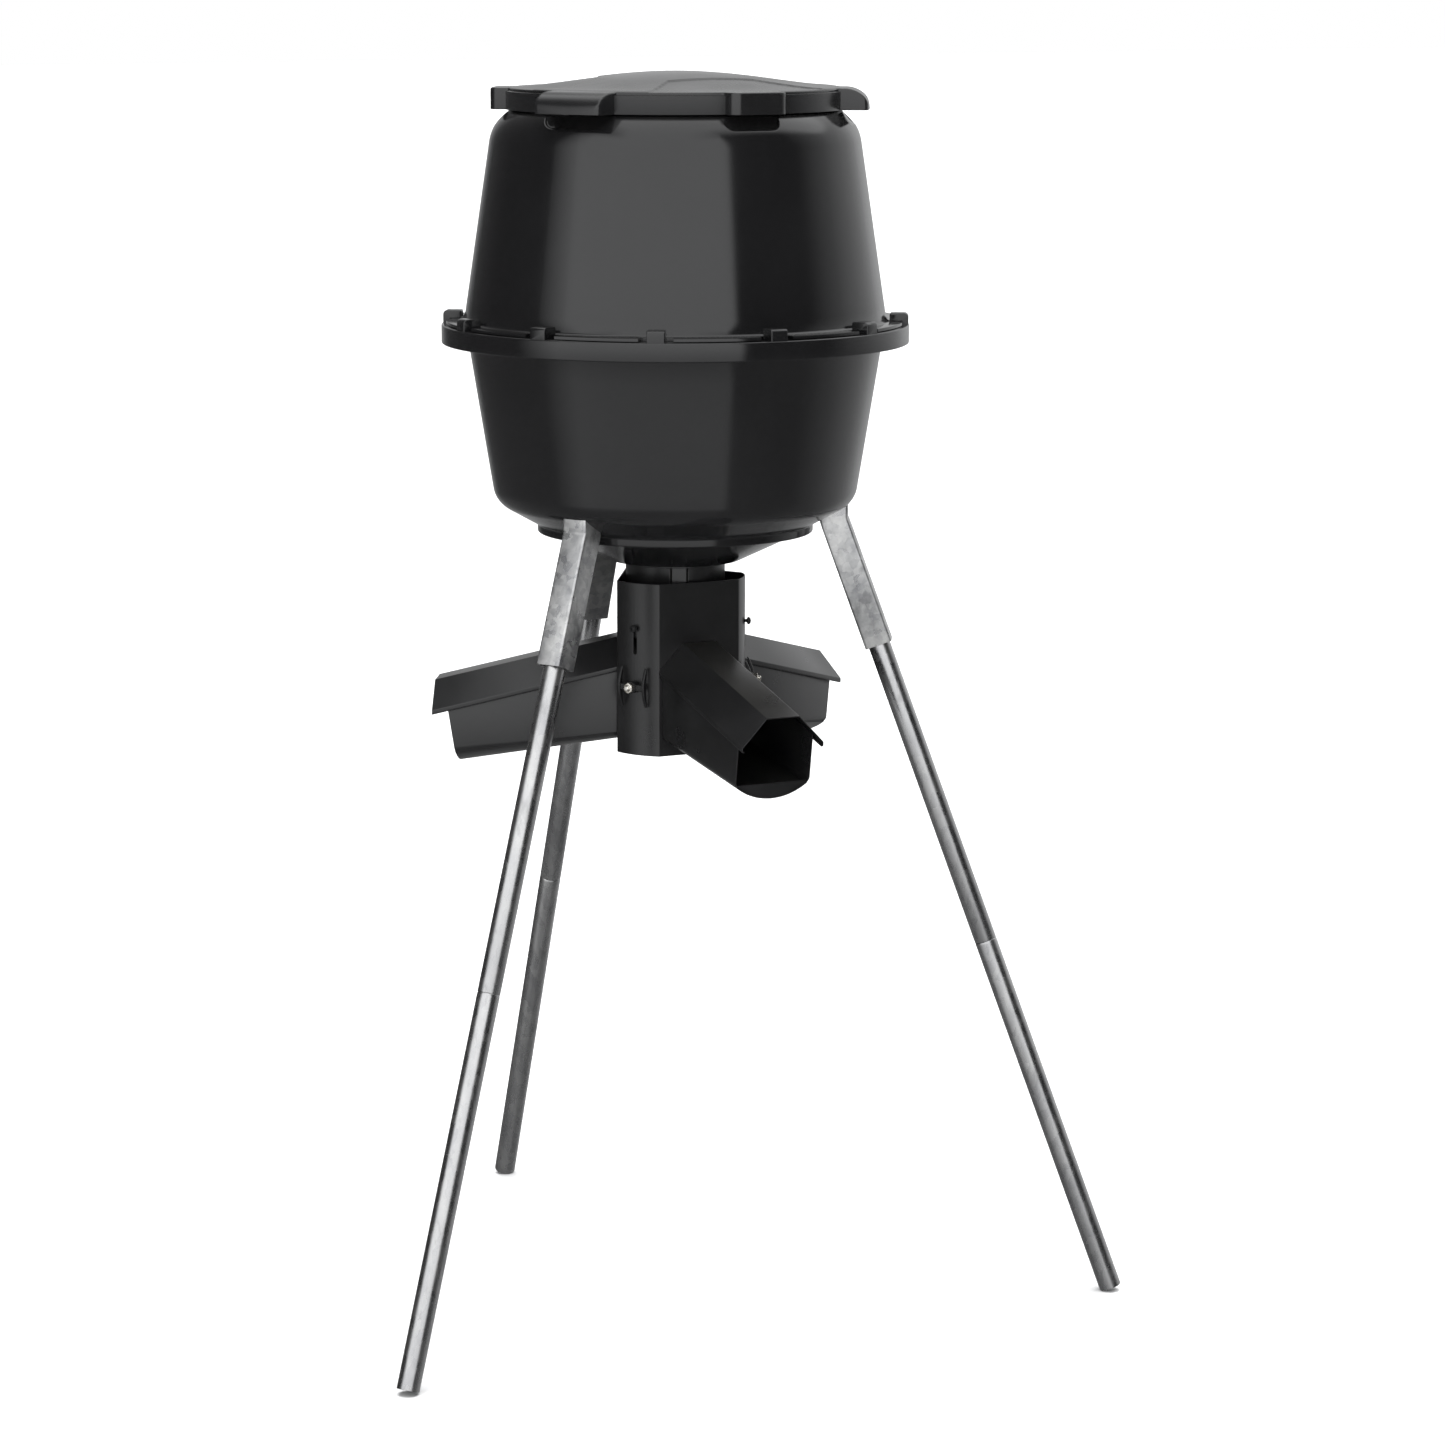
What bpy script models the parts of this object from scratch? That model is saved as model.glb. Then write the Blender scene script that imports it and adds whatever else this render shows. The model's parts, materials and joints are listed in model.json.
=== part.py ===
"""Gravity game feeder: a two-part plastic hopper on a three-legged stand, with a three-way feed head below.

Metres, +Z up. The ground is z = 0 and the front chute points along -Y. The world origin is the middle of
the feet's bounding box, so the hopper's own axis, which everything is parented to, stands at AXIS_Y.
"""

import math

import bmesh
import bpy

# Directions round the hopper's axis, in degrees from +X towards +Y.
LEG_AZIMUTHS = {"back": 90.0, "left": 210.0, "right": 330.0}
CHUTE_AZIMUTHS = {"front": 270.0, "right": 30.0, "left": 150.0}

GAP = 0.0003  # between pieces that touch on the real object

# Legs: round tubes in two lengths, leaning outwards from the hopper.
LEG_LEAN = math.radians(20.04)
TUBE_RADIUS = 0.0154
TUBE_WALL = 0.0012
FOOT_RADIUS = 0.6159  # from the hopper's axis to the middle of a leg's lower end
FOOT_HEIGHT = TUBE_RADIUS * math.sin(LEG_LEAN)  # the end is cut square, so one edge meets the ground
JOINT_HEIGHT = 0.503
UPPER_TUBE_TOP = 1.030
SWAGE_LENGTH = 0.055
TUBE_SIDES = 20


# Leg brackets: square tube, bent where it leaves the hopper.
BRACKET_SIDE = 0.038
BRACKET_WALL = 0.002
BRACKET_BEND_HEIGHT = 1.0925
BRACKET_LOW_HEIGHT = 0.9194
BRACKET_TOP_HEIGHT = 1.165
BRACKET_BOLT_HEIGHT = 1.143
BOSS_WALL = 0.004

# Hopper.
WALL = 0.004
HOPPER_SIDES = 48
RING_RADIUS = 0.320
RING_TOP = 1.3605
RING_BOTTOM = 1.335
RING_PLATE = 0.005
UPPER_FLANGE_RADIUS = 0.3135
UPPER_FLANGE_THICKNESS = 0.005
SPIGOT_RADIUS = 0.2775
SPIGOT_BOTTOM = 1.340
TAB_COUNT = 12
TAB_WIDTH = 0.024
TAB_HEIGHT = 0.016
TAB_INNER_RADIUS = 0.2935
NOTCH_WIDTH = 0.044
SHOULDER_CENTRE = (0.1938, 1.5987)
SHOULDER_RADIUS = 0.060
UPPER_TAPER = math.radians(8.38)
LOWER_TAPER = math.radians(9.26)
CORNER_CENTRE = (0.2150, 1.1408)
CORNER_RADIUS = 0.036
BOTTOM_SLOPE = math.radians(29.0)
LEDGE_RADIUS = 0.190
LEDGE_TOP = 1.087
LEDGE_BOTTOM = 1.0746
FUNNEL_TOP_RADIUS = 0.172
LIP_RADIUS = 0.090
LIP_BOTTOM = 1.035
LIP_THICKNESS = 0.0048
THROAT_RADIUS = 0.070
NECK_RADIUS = 0.2195
NECK_TOP = 1.673

# Lid.
LID_RADIUS = 0.2265
LID_BOTTOM = 1.6508
LID_EDGE_TOP = 1.6815
LID_APEX = 1.702
LID_WALL = 0.004
LID_TURN = 1.5  # degrees: the lid was put on a little askew
LOBE_WALL = 0.0035
GRIP_RADIUS = 0.2640
GRIP_HALF_WIDTH = 0.0515
LUG_RADIUS = 0.2500
LUG_HALF_WIDTH = 0.0414
POCKET_FLOOR = 1.631

# Feed head: a sheet-metal housing with three flats and three rounded corners.
HEAD_BOTTOM = 0.773
HEAD_TOP = 1.0115
HEAD_FLAT = 0.0755
HEAD_CORNER = 0.09675
SHEET = 0.0015
SCREW_HEIGHT = 0.949
SLOT_BOTTOM = 0.9128
SLOT_WIDTH = 0.0058
KEYHOLE_RADIUS = 0.0045
WING_HEIGHT = 0.8684

# Collar below the hopper's mouth.
COLLAR_RADIUS = 0.0686
COLLAR_INNER_RADIUS = 0.0652
COLLAR_BOTTOM = 0.905
COLLAR_TOP = 1.053
COLLAR_FLANGE_RADIUS = 0.0725
EAR_REACH = 0.0935
EAR_WIDTH = 0.016

# Chutes: heights are at the head's flat face, slopes are drop per metre outwards.
ROOF_HALF_TOP = 0.0243
ROOF_HALF_WIDTH = 0.0605
RIDGE_HEIGHT = 0.929
EAVE_HEIGHT = 0.8914
ROOF_SLOPE = 0.25
ROOF_END = 0.333
EAVE_LIP = 0.005
TROUGH_HALF_WIDTH = 0.0555
CREASE_HEIGHT = 0.7975
CREASE_SLOPE = 0.124
TROUGH_LOW_HEIGHT = 0.7842
TROUGH_LOW_SLOPE = 0.157
TROUGH_END_TOP = 0.3124
TROUGH_END_LOW = 0.299

# The back foot and the front cover's end reach furthest along Y.
AXIS_Y = -(FOOT_RADIUS + TUBE_RADIUS * math.cos(LEG_LEAN) - ROOF_END) / 2

# Feed cone inside the head.
CONE_RADIUS = 0.070
CONE_APEX = 0.897
CONE_PLATE_TOP = 0.7985
CONE_EAR_TOP = 0.8830
CONE_EAR_FACE = 0.0940
CONE_EAR_THICKNESS = 0.002

BOLT_RADIUS = 0.004
HOLE_RADIUS = 0.0044
BOLT_SIDES = 16


# ---- scene -------------------------------------------------------------------------------------------


def clear_scene():
    for obj in list(bpy.data.objects):
        bpy.data.objects.remove(obj, do_unlink=True)


def new_collection(name):
    collection = bpy.data.collections.new(name)
    bpy.context.scene.collection.children.link(collection)
    return collection


def new_material(name, colour, roughness, metallic):
    material = bpy.data.materials.new(name)
    material.use_nodes = True
    shader = material.node_tree.nodes["Principled BSDF"]
    shader.inputs["Base Color"].default_value = (*colour, 1.0)
    shader.inputs["Roughness"].default_value = roughness
    shader.inputs["Metallic"].default_value = metallic
    return material


clear_scene()
PARTS = new_collection("gravity_game_feeder")
CUTTERS = new_collection("cutters")
HOPPER_PLASTIC = new_material("hopper_plastic", (0.020, 0.020, 0.021), 0.42, 0.0)
COLLAR_PLASTIC = new_material("collar_plastic", (0.030, 0.030, 0.032), 0.50, 0.0)
BLACK_STEEL = new_material("black_steel", (0.022, 0.022, 0.023), 0.45, 0.2)
GALVANISED = new_material("galvanised_steel", (0.55, 0.56, 0.57), 0.42, 0.9)
ZINC = new_material("zinc_fastener", (0.70, 0.68, 0.64), 0.30, 1.0)
BLACK_FASTENER = new_material("black_fastener", (0.015, 0.015, 0.016), 0.50, 0.3)


def new_empty(name, parent, azimuth=0.0, location=(0.0, 0.0, 0.0), lean=0.0):
    """An empty whose +X points along an azimuth; a lean tips its +Z inwards."""
    empty = bpy.data.objects.new(name, None)
    PARTS.objects.link(empty)
    empty.parent = parent
    empty.location = location
    empty.rotation_euler = (0.0, -lean, math.radians(azimuth))
    return empty


AXIS = new_empty("feeder_axis", None, location=(0.0, AXIS_Y, 0.0))
LEG_SIDES = {name: new_empty(f"side_{name}", AXIS, azimuth) for name, azimuth in LEG_AZIMUTHS.items()}
CHUTE_SIDES = {
    name: new_empty(f"chute_side_{name}", AXIS, azimuth) for name, azimuth in CHUTE_AZIMUTHS.items()
}


# ---- modelling tools ---------------------------------------------------------------------------------


def add_object(name, mesh, material, parent, location=(0.0, 0.0, 0.0), rotation=(0.0, 0.0, 0.0)):
    """A piece of the feeder, or a hidden cutter when it has no material."""
    obj = bpy.data.objects.new(name, mesh)
    obj.parent = parent
    obj.location = location
    obj.rotation_euler = rotation
    if material is None:
        CUTTERS.objects.link(obj)
        obj.hide_render = True
        obj.display_type = "WIRE"
    else:
        PARTS.objects.link(obj)
        mesh.materials.clear()
        mesh.materials.append(material)
    return obj


def mesh_from(bm, name):
    bmesh.ops.recalc_face_normals(bm, faces=bm.faces)
    mesh = bpy.data.meshes.new(name)
    bm.to_mesh(mesh)
    bm.free()
    return mesh


def evaluated_mesh(obj, weld=1e-6):
    """The object's shape with its modifiers applied, its loose caps welded on."""
    bpy.context.view_layer.update()
    graph = bpy.context.evaluated_depsgraph_get()
    mesh = bpy.data.meshes.new_from_object(obj.evaluated_get(graph))
    bm = bmesh.new()
    bm.from_mesh(mesh)
    bmesh.ops.remove_doubles(bm, verts=bm.verts, dist=weld)
    bm.to_mesh(mesh)
    bm.free()
    return mesh


def turned(name, profile, material, parent, sides=BOLT_SIDES, closed=False, **place):
    """A solid of revolution about local Z. The profile holds (radius, height) from the top down."""
    bm = bmesh.new()
    points = [bm.verts.new((radius, 0.0, height)) for radius, height in profile]
    for first, second in zip(points, points[1:]):
        bm.edges.new((first, second))
    if closed:
        bm.edges.new((points[-1], points[0]))
    mesh = bpy.data.meshes.new(name)
    bm.to_mesh(mesh)
    bm.free()
    guide = bpy.data.objects.new(f"{name}_profile", mesh)
    CUTTERS.objects.link(guide)
    screw = guide.modifiers.new("turn", "SCREW")
    screw.steps = sides
    screw.render_steps = sides
    screw.use_merge_vertices = True
    screw.merge_threshold = 1e-6
    solid = evaluated_mesh(guide)
    bpy.data.objects.remove(guide)
    return add_object(name, solid, material, parent, **place)


def plate(name, outlines, thickness, material, parent, **place):
    """A flat outline in local XY, with any further outlines as holes, centred on its thickness."""
    curve = bpy.data.curves.new(name, "CURVE")
    curve.dimensions = "2D"
    curve.fill_mode = "BOTH"
    curve.extrude = thickness / 2
    for outline in outlines:
        spline = curve.splines.new("POLY")
        spline.points.add(len(outline) - 1)
        for point, (x, y) in zip(spline.points, outline):
            point.co = (x, y, 0.0, 1.0)
        spline.use_cyclic_u = True
    guide = bpy.data.objects.new(f"{name}_outline", curve)
    CUTTERS.objects.link(guide)
    mesh = evaluated_mesh(guide)
    bpy.data.objects.remove(guide)
    return add_object(name, mesh, material, parent, **place)


def box(name, low, high, material, parent, rotation=(0.0, 0.0, 0.0)):
    """A block between two corners in the parent's axes."""
    bm = bmesh.new()
    bmesh.ops.create_cube(bm, size=1.0)
    for vert in bm.verts:
        for axis in range(3):
            vert.co[axis] *= high[axis] - low[axis]
    middle = [(a + b) / 2 for a, b in zip(low, high)]
    return add_object(name, mesh_from(bm, name), material, parent, middle, rotation)


def prism(name, radius, sides, low, high, material, parent, **place):
    """A straight prism or cylinder along local Z."""
    bm = bmesh.new()
    bmesh.ops.create_cone(
        bm, cap_ends=True, segments=sides, radius1=radius, radius2=radius, depth=high - low
    )
    bmesh.ops.translate(bm, verts=bm.verts, vec=(0.0, 0.0, (low + high) / 2))
    return add_object(name, mesh_from(bm, name), material, parent, **place)


def loft(name, sections, material, parent):
    """A solid through closed loops of points, one face at each end."""
    bm = bmesh.new()
    loops = [[bm.verts.new(point) for point in section] for section in sections]
    for first, second in zip(loops, loops[1:]):
        for i in range(len(first)):
            j = (i + 1) % len(first)
            bm.faces.new((first[i], first[j], second[j], second[i]))
    bm.faces.new(loops[0])
    bm.faces.new(list(reversed(loops[-1])))
    return add_object(name, mesh_from(bm, name), material, parent)


def combine(target, other, operation):
    modifier = target.modifiers.new(f"{operation.lower()}_{other.name}", "BOOLEAN")
    modifier.operation = operation
    modifier.object = other
    modifier.solver = "EXACT"


def cut(target, *cutters):
    for cutter in cutters:
        combine(target, cutter, "DIFFERENCE")


def join(target, *pieces):
    for piece in pieces:
        combine(target, piece, "UNION")


def bevel(obj, width, segments=2, angle=40.0):
    modifier = obj.modifiers.new("rounded_edges", "BEVEL")
    modifier.width = width
    modifier.segments = segments
    modifier.limit_method = "ANGLE"
    modifier.angle_limit = math.radians(angle)


def arc(centre, radius, start, end, steps):
    """Points on a circle from one angle to another, in degrees."""
    angles = [math.radians(start + (end - start) * i / steps) for i in range(steps + 1)]
    return [(centre[0] + radius * math.cos(a), centre[1] + radius * math.sin(a)) for a in angles]


RADIAL = (0.0, math.pi / 2, 0.0)  # turns local Z to the side's +X, so a fastener points outwards


# ---- hopper ------------------------------------------------------------------------------------------


def upper_wall_radius(height):
    start = math.degrees(UPPER_TAPER)
    radius, top = arc(SHOULDER_CENTRE, SHOULDER_RADIUS, start, start, 1)[0]
    return radius + (top - height) * math.tan(UPPER_TAPER)


def upper_barrel_profile():
    """Outside from the neck down to the spigot, then back up the inside."""
    flange_low = RING_TOP + GAP
    flange_top = flange_low + UPPER_FLANGE_THICKNESS
    taper = math.degrees(UPPER_TAPER)
    outside = [(NECK_RADIUS, NECK_TOP), (NECK_RADIUS, LID_BOTTOM - 0.0015)]
    outside += arc(SHOULDER_CENTRE, SHOULDER_RADIUS, 57.0, taper, 6)
    outside += [
        (upper_wall_radius(flange_top + 0.006), flange_top + 0.006),
        (upper_wall_radius(flange_top) + 0.002, flange_top),
        (UPPER_FLANGE_RADIUS, flange_top),
        (UPPER_FLANGE_RADIUS, flange_low),
        (SPIGOT_RADIUS, flange_low),
        (SPIGOT_RADIUS, SPIGOT_BOTTOM),
    ]
    ceiling = POCKET_FLOOR - 0.0045
    inside = [
        (SPIGOT_RADIUS - WALL, SPIGOT_BOTTOM),
        (SPIGOT_RADIUS - WALL, flange_low - 0.006),
        (upper_wall_radius(flange_top) - WALL, flange_top + 0.002),
        (upper_wall_radius(1.600) - WALL, 1.600),
        (0.2425, 1.614),
        (0.2405, ceiling),
        (NECK_RADIUS - WALL, ceiling),
        (NECK_RADIUS - WALL, NECK_TOP),
    ]
    return outside + inside


def build_upper_barrel():
    barrel = turned(
        "upper_barrel", upper_barrel_profile(), HOPPER_PLASTIC, AXIS, sides=HOPPER_SIDES, closed=True
    )
    for i in range(TAB_COUNT):
        side = new_empty(f"tab_side_{i}", AXIS, 30.0 * i)
        low = (TAB_INNER_RADIUS - 0.002, -NOTCH_WIDTH / 2, RING_TOP - 0.004)
        high = (RING_RADIUS + 0.01, NOTCH_WIDTH / 2, RING_TOP + 0.012)
        cut(barrel, box(f"flange_notch_{i}", low, high, None, side))
    for sides, half in ((LEG_SIDES, GRIP_HALF_WIDTH), (CHUTE_SIDES, LUG_HALF_WIDTH)):
        for side in sides.values():
            cut(barrel, shoulder_pocket(f"shoulder_pocket_{side.name}", half, side))
    return barrel


def shoulder_pocket(name, half, side):
    """Finger room in the shoulder below one of the lid's lobes, with rounded lower corners."""
    corner = 0.014
    top = LID_BOTTOM + 0.01
    outline = [(-half, top)]
    outline += arc((-half + corner, POCKET_FLOOR + corner), corner, 180.0, 270.0, 3)
    outline += arc((half - corner, POCKET_FLOOR + corner), corner, 270.0, 360.0, 3)
    outline.append((half, top))
    depth = 0.0425
    place = {"location": (0.2275 + depth / 2, 0.0, 0.0), "rotation": (math.pi / 2, 0.0, math.pi / 2)}
    return plate(name, [outline], depth, None, side, **place)


def lower_wall_radius(height):
    start = -math.degrees(LOWER_TAPER)
    radius, low = arc(CORNER_CENTRE, CORNER_RADIUS, start, start, 1)[0]
    return radius + (height - low) * math.tan(LOWER_TAPER)


def lower_outline():
    """The lower barrel's outside below the ring, from the top down to the lip."""
    taper = -math.degrees(LOWER_TAPER)
    points = [(lower_wall_radius(RING_BOTTOM), RING_BOTTOM)]
    points += arc(CORNER_CENTRE, CORNER_RADIUS, taper, -90.0 + math.degrees(BOTTOM_SLOPE), 5)
    radius, height = points[-1]
    slope_end = height - (radius - LEDGE_RADIUS) * math.tan(BOTTOM_SLOPE)
    points += [
        (LEDGE_RADIUS, slope_end),
        (LEDGE_RADIUS, LEDGE_BOTTOM),
        (FUNNEL_TOP_RADIUS, LEDGE_BOTTOM - 0.0006),
        (LIP_RADIUS, LIP_BOTTOM),
        (THROAT_RADIUS, LIP_BOTTOM),
    ]
    return points


def lower_inline():
    """The lower barrel's inside from the throat up to the ring."""
    seat = LIP_BOTTOM + LIP_THICKNESS
    points = [
        (THROAT_RADIUS, seat),
        (LIP_RADIUS, seat),
        (FUNNEL_TOP_RADIUS, LEDGE_BOTTOM + LIP_THICKNESS),
        (LEDGE_RADIUS - WALL, LEDGE_BOTTOM + LIP_THICKNESS + 0.001),
        (LEDGE_RADIUS - WALL, LEDGE_TOP + WALL),
    ]
    low = -90.0 + math.degrees(BOTTOM_SLOPE)
    points += arc(CORNER_CENTRE, CORNER_RADIUS - WALL, low, -math.degrees(LOWER_TAPER), 4)
    points += [(SPIGOT_RADIUS + 0.0005, RING_BOTTOM - 0.006), (SPIGOT_RADIUS + 0.0005, RING_TOP)]
    return points


def build_lower_barrel():
    outline = lower_outline()
    rim = [
        (RING_RADIUS, RING_TOP),
        (RING_RADIUS, RING_BOTTOM),
        (RING_RADIUS - WALL, RING_BOTTOM),
        (RING_RADIUS - WALL, RING_TOP - RING_PLATE),
        (lower_wall_radius(RING_TOP - RING_PLATE), RING_TOP - RING_PLATE),
    ]
    profile = rim + outline + lower_inline()
    barrel = turned("lower_barrel", profile, HOPPER_PLASTIC, AXIS, sides=HOPPER_SIDES, closed=True)
    mid_wall = [(radius - 0.0015, height + 0.0015) for radius, height in outline]
    envelope_profile = [(0.0, mid_wall[0][1])] + mid_wall + [(0.0, mid_wall[-1][1])]
    envelope = turned("hopper_envelope", envelope_profile, None, AXIS, sides=HOPPER_SIDES)
    for i in range(TAB_COUNT):
        join(barrel, ring_tab(i))
    for name, side in LEG_SIDES.items():
        inner, outer = socket_radii()
        half = BRACKET_SIDE / 2 + 0.0004
        low = (inner - BOSS_WALL, -half - BOSS_WALL, 1.05)
        high = (outer + BOSS_WALL, half + BOSS_WALL, BRACKET_TOP_HEIGHT + BOSS_WALL)
        boss = box(f"boss_{name}", low, high, None, side)
        combine(boss, envelope, "INTERSECT")
        join(barrel, boss)
        socket_low = (inner, -half, 1.04)
        socket_high = (outer, half, BRACKET_TOP_HEIGHT + GAP)
        cut(barrel, box(f"socket_{name}", socket_low, socket_high, None, side))
        cut(barrel, radial_hole(f"boss_hole_{name}", side, inner - 0.02, inner + 0.01, BRACKET_BOLT_HEIGHT))
    return barrel


def socket_radii():
    """Where the bracket's inner and outer faces lie, with a little clearance."""
    middle = leg_radius(BRACKET_BEND_HEIGHT)
    reach = BRACKET_SIDE / 2 + 0.0004
    return middle - reach, middle + reach


def ring_tab(index):
    """A clip on the ring, open underneath on the inner side, that holds the upper barrel's flange."""
    side = new_empty(f"clip_side_{index}", AXIS, 30.0 * index)
    reach = RING_RADIUS - 0.0012 - TAB_INNER_RADIUS
    chamfer = 0.005
    outline = [
        (0.0, -0.004),
        (reach, -0.004),
        (reach, TAB_HEIGHT - chamfer),
        (reach - chamfer, TAB_HEIGHT),
        (0.002, TAB_HEIGHT),
        (0.0, TAB_HEIGHT - 0.003),
    ]
    return plate(
        f"ring_tab_{index}",
        [outline],
        TAB_WIDTH,
        None,
        side,
        location=(TAB_INNER_RADIUS, 0.0, RING_TOP),
        rotation=(math.pi / 2, 0.0, 0.0),
    )


def radial_hole(name, side, start, end, height, radius=HOLE_RADIUS):
    return prism(
        name, radius, BOLT_SIDES, start, end, None, side, location=(0.0, 0.0, height), rotation=RADIAL
    )


# ---- lid ---------------------------------------------------------------------------------------------


def lid_top(radius):
    # the cap is nearly level in the middle and flares out again towards its rim
    return LID_EDGE_TOP + (LID_APEX - LID_EDGE_TOP) * max(1.0 - (radius / LID_RADIUS) ** 2, 0.0) ** 1.8


def grip_profile(wall, low, start):
    """A hand grip seen from the side: upright at its outer edge, rounded over into the lid's top."""
    edge = LID_BOTTOM + 0.002
    drop = LID_EDGE_TOP - 0.0015 - edge
    reach = 0.034
    points = [(start, low), (GRIP_RADIUS - wall, low)]
    for i in range(7):
        angle = math.radians(15.0 * i)
        across = GRIP_RADIUS - reach + (reach - wall) * math.cos(angle)
        points.append((across, edge + (drop - wall) * math.sin(angle)))
    points.append((start, edge + drop - wall))
    return points


def lobe_plan(start, reach, half, corner):
    """A lobe seen from above, with its two outer corners rounded."""
    outline = [(start, -half)]
    outline += arc((reach - corner, -half + corner), corner, 270.0, 360.0, 4)
    outline += arc((reach - corner, half - corner), corner, 0.0, 90.0, 4)
    outline.append((start, half))
    return outline


def lobe(name, side, start, reach, half, corner, low, high):
    outline = lobe_plan(start, reach, half, corner)
    return plate(name, [outline], high - low, None, side, location=(0.0, 0.0, (high + low) / 2))


def build_lid():
    radii = [LID_RADIUS * step / 8 for step in range(8)]
    outside = [(radius, lid_top(radius)) for radius in radii]
    outside += [(LID_RADIUS - 0.0025, LID_EDGE_TOP), (LID_RADIUS, LID_EDGE_TOP - 0.0025)]
    outside += [(LID_RADIUS, LID_BOTTOM)]
    inner = LID_RADIUS - LID_WALL
    inside = [(inner, LID_BOTTOM), (inner, lid_top(inner) - LID_WALL)]
    inside += [(radius, lid_top(radius) - LID_WALL) for radius in reversed(radii)]
    lid = turned("lid", outside + inside, HOPPER_PLASTIC, AXIS, sides=HOPPER_SIDES)
    top = LID_EDGE_TOP - 0.0015
    upright = (math.pi / 2, 0.0, 0.0)
    for label, azimuths in (("grip", LEG_AZIMUTHS), ("lug", CHUTE_AZIMUTHS)):
        for name, azimuth in azimuths.items():
            side = new_empty(f"lid_{label}_side_{name}", AXIS, azimuth + LID_TURN)
            if label == "grip":
                reach, half, corner = GRIP_RADIUS, GRIP_HALF_WIDTH, 0.006
            else:
                reach, half, corner = LUG_RADIUS, LUG_HALF_WIDTH, 0.0125
            solid = lobe(f"{label}_{name}", side, inner + 0.001, reach, half, corner, LID_BOTTOM, top)
            hollow_size = (LID_RADIUS + 0.0045, reach - LOBE_WALL, half - LOBE_WALL, corner - LOBE_WALL)
            hollow = lobe(f"{label}_hollow_{name}", side, *hollow_size, LID_BOTTOM - 0.01, top - LOBE_WALL)
            if label == "grip":
                outer = grip_profile(0.0, LID_BOTTOM - 0.005, inner)
                combine(solid, plate(f"profile_{name}", [outer], 0.2, None, side, rotation=upright), "INTERSECT")
                inside = grip_profile(LOBE_WALL, LID_BOTTOM - 0.02, inner)
                combine(hollow, plate(f"core_{name}", [inside], 0.2, None, side, rotation=upright), "INTERSECT")
            join(lid, solid)
            cut(lid, hollow)
    return lid


# ---- collar and feed head ----------------------------------------------------------------------------


def build_collar():
    seat = LIP_BOTTOM - GAP
    profile = [
        (COLLAR_RADIUS, COLLAR_TOP),
        (COLLAR_RADIUS, seat),
        (COLLAR_FLANGE_RADIUS, seat),
        (COLLAR_FLANGE_RADIUS, seat - 0.004),
        (COLLAR_RADIUS, seat - 0.004),
        (COLLAR_RADIUS, COLLAR_BOTTOM),
        (COLLAR_INNER_RADIUS, COLLAR_BOTTOM),
        (COLLAR_INNER_RADIUS, COLLAR_TOP),
    ]
    collar = turned("collar", profile, COLLAR_PLASTIC, AXIS, sides=36, closed=True)
    for index in range(3):
        side = new_empty(f"latch_side_{index}", AXIS, -111.0 + 120.0 * index)
        low = (COLLAR_RADIUS - 0.0012, -0.008, 1.006)
        high = (COLLAR_RADIUS + 0.0024, 0.008, seat - 0.0025)
        join(collar, box(f"collar_rib_{index}", low, high, None, side))
    for name, side in LEG_SIDES.items():
        low = (COLLAR_INNER_RADIUS + 0.0015, -EAR_WIDTH / 2, SCREW_HEIGHT - 0.014)
        high = (EAR_REACH, EAR_WIDTH / 2, SCREW_HEIGHT + 0.014)
        join(collar, box(f"collar_ear_{name}", low, high, None, side))
        cut(collar, radial_hole(f"ear_hole_{name}", side, 0.072, 0.11, SCREW_HEIGHT, 0.0028))
    return collar


def build_collar_nut():
    low = LIP_BOTTOM + LIP_THICKNESS + GAP
    profile = [(0.0860, low + 0.008), (0.0860, low), (0.0690, low), (0.0690, low + 0.008)]
    nut = turned("collar_nut", profile, COLLAR_PLASTIC, AXIS, sides=36, closed=True)
    for index in range(6):
        side = new_empty(f"spanner_side_{index}", AXIS, 60.0 * index)
        cut(nut, box(f"spanner_notch_{index}", (0.082, -0.006, low - 0.01), (0.1, 0.006, low + 0.02), None, side))
    return nut


def head_outline(flat, corner, steps=6):
    """Three flats facing the chutes, joined by arcs that face the legs."""
    half_angle = 60.0 - math.degrees(math.acos(flat / corner))
    points = []
    for azimuth in LEG_AZIMUTHS.values():
        points += arc((0.0, 0.0), corner, azimuth - half_angle, azimuth + half_angle, steps)
    return points


def keyhole_outline():
    """A round hole at the top with a narrower slot running down from it, in (height, width)."""
    half = SLOT_WIDTH / 2
    opening = math.degrees(math.asin(half / KEYHOLE_RADIUS))
    ring = arc((SCREW_HEIGHT, 0.0), KEYHOLE_RADIUS, -180.0 + opening, 180.0 - opening, 10)
    foot = arc((SLOT_BOTTOM + half, 0.0), half, 90.0, 270.0, 5)
    return ring + foot


def build_head_housing():
    height = HEAD_TOP - HEAD_BOTTOM
    outer = head_outline(HEAD_FLAT, HEAD_CORNER)
    inner = head_outline(HEAD_FLAT - SHEET, HEAD_CORNER - SHEET)
    middle = (0.0, 0.0, (HEAD_TOP + HEAD_BOTTOM) / 2)
    head = plate("head_housing", [outer, inner], height, BLACK_STEEL, AXIS, location=middle)
    for name, side in CHUTE_SIDES.items():
        cut(head, chute_opening(name, side))
    for name, side in LEG_SIDES.items():
        slot = keyhole_outline()
        place = {"location": (HEAD_CORNER, 0.0, 0.0), "rotation": (0.0, -math.pi / 2, 0.0)}
        cut(head, plate(f"keyhole_{name}", [slot], 0.012, None, side, **place))
        cut(head, radial_hole(f"wing_hole_{name}", side, 0.088, 0.105, WING_HEIGHT))
    return head


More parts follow.
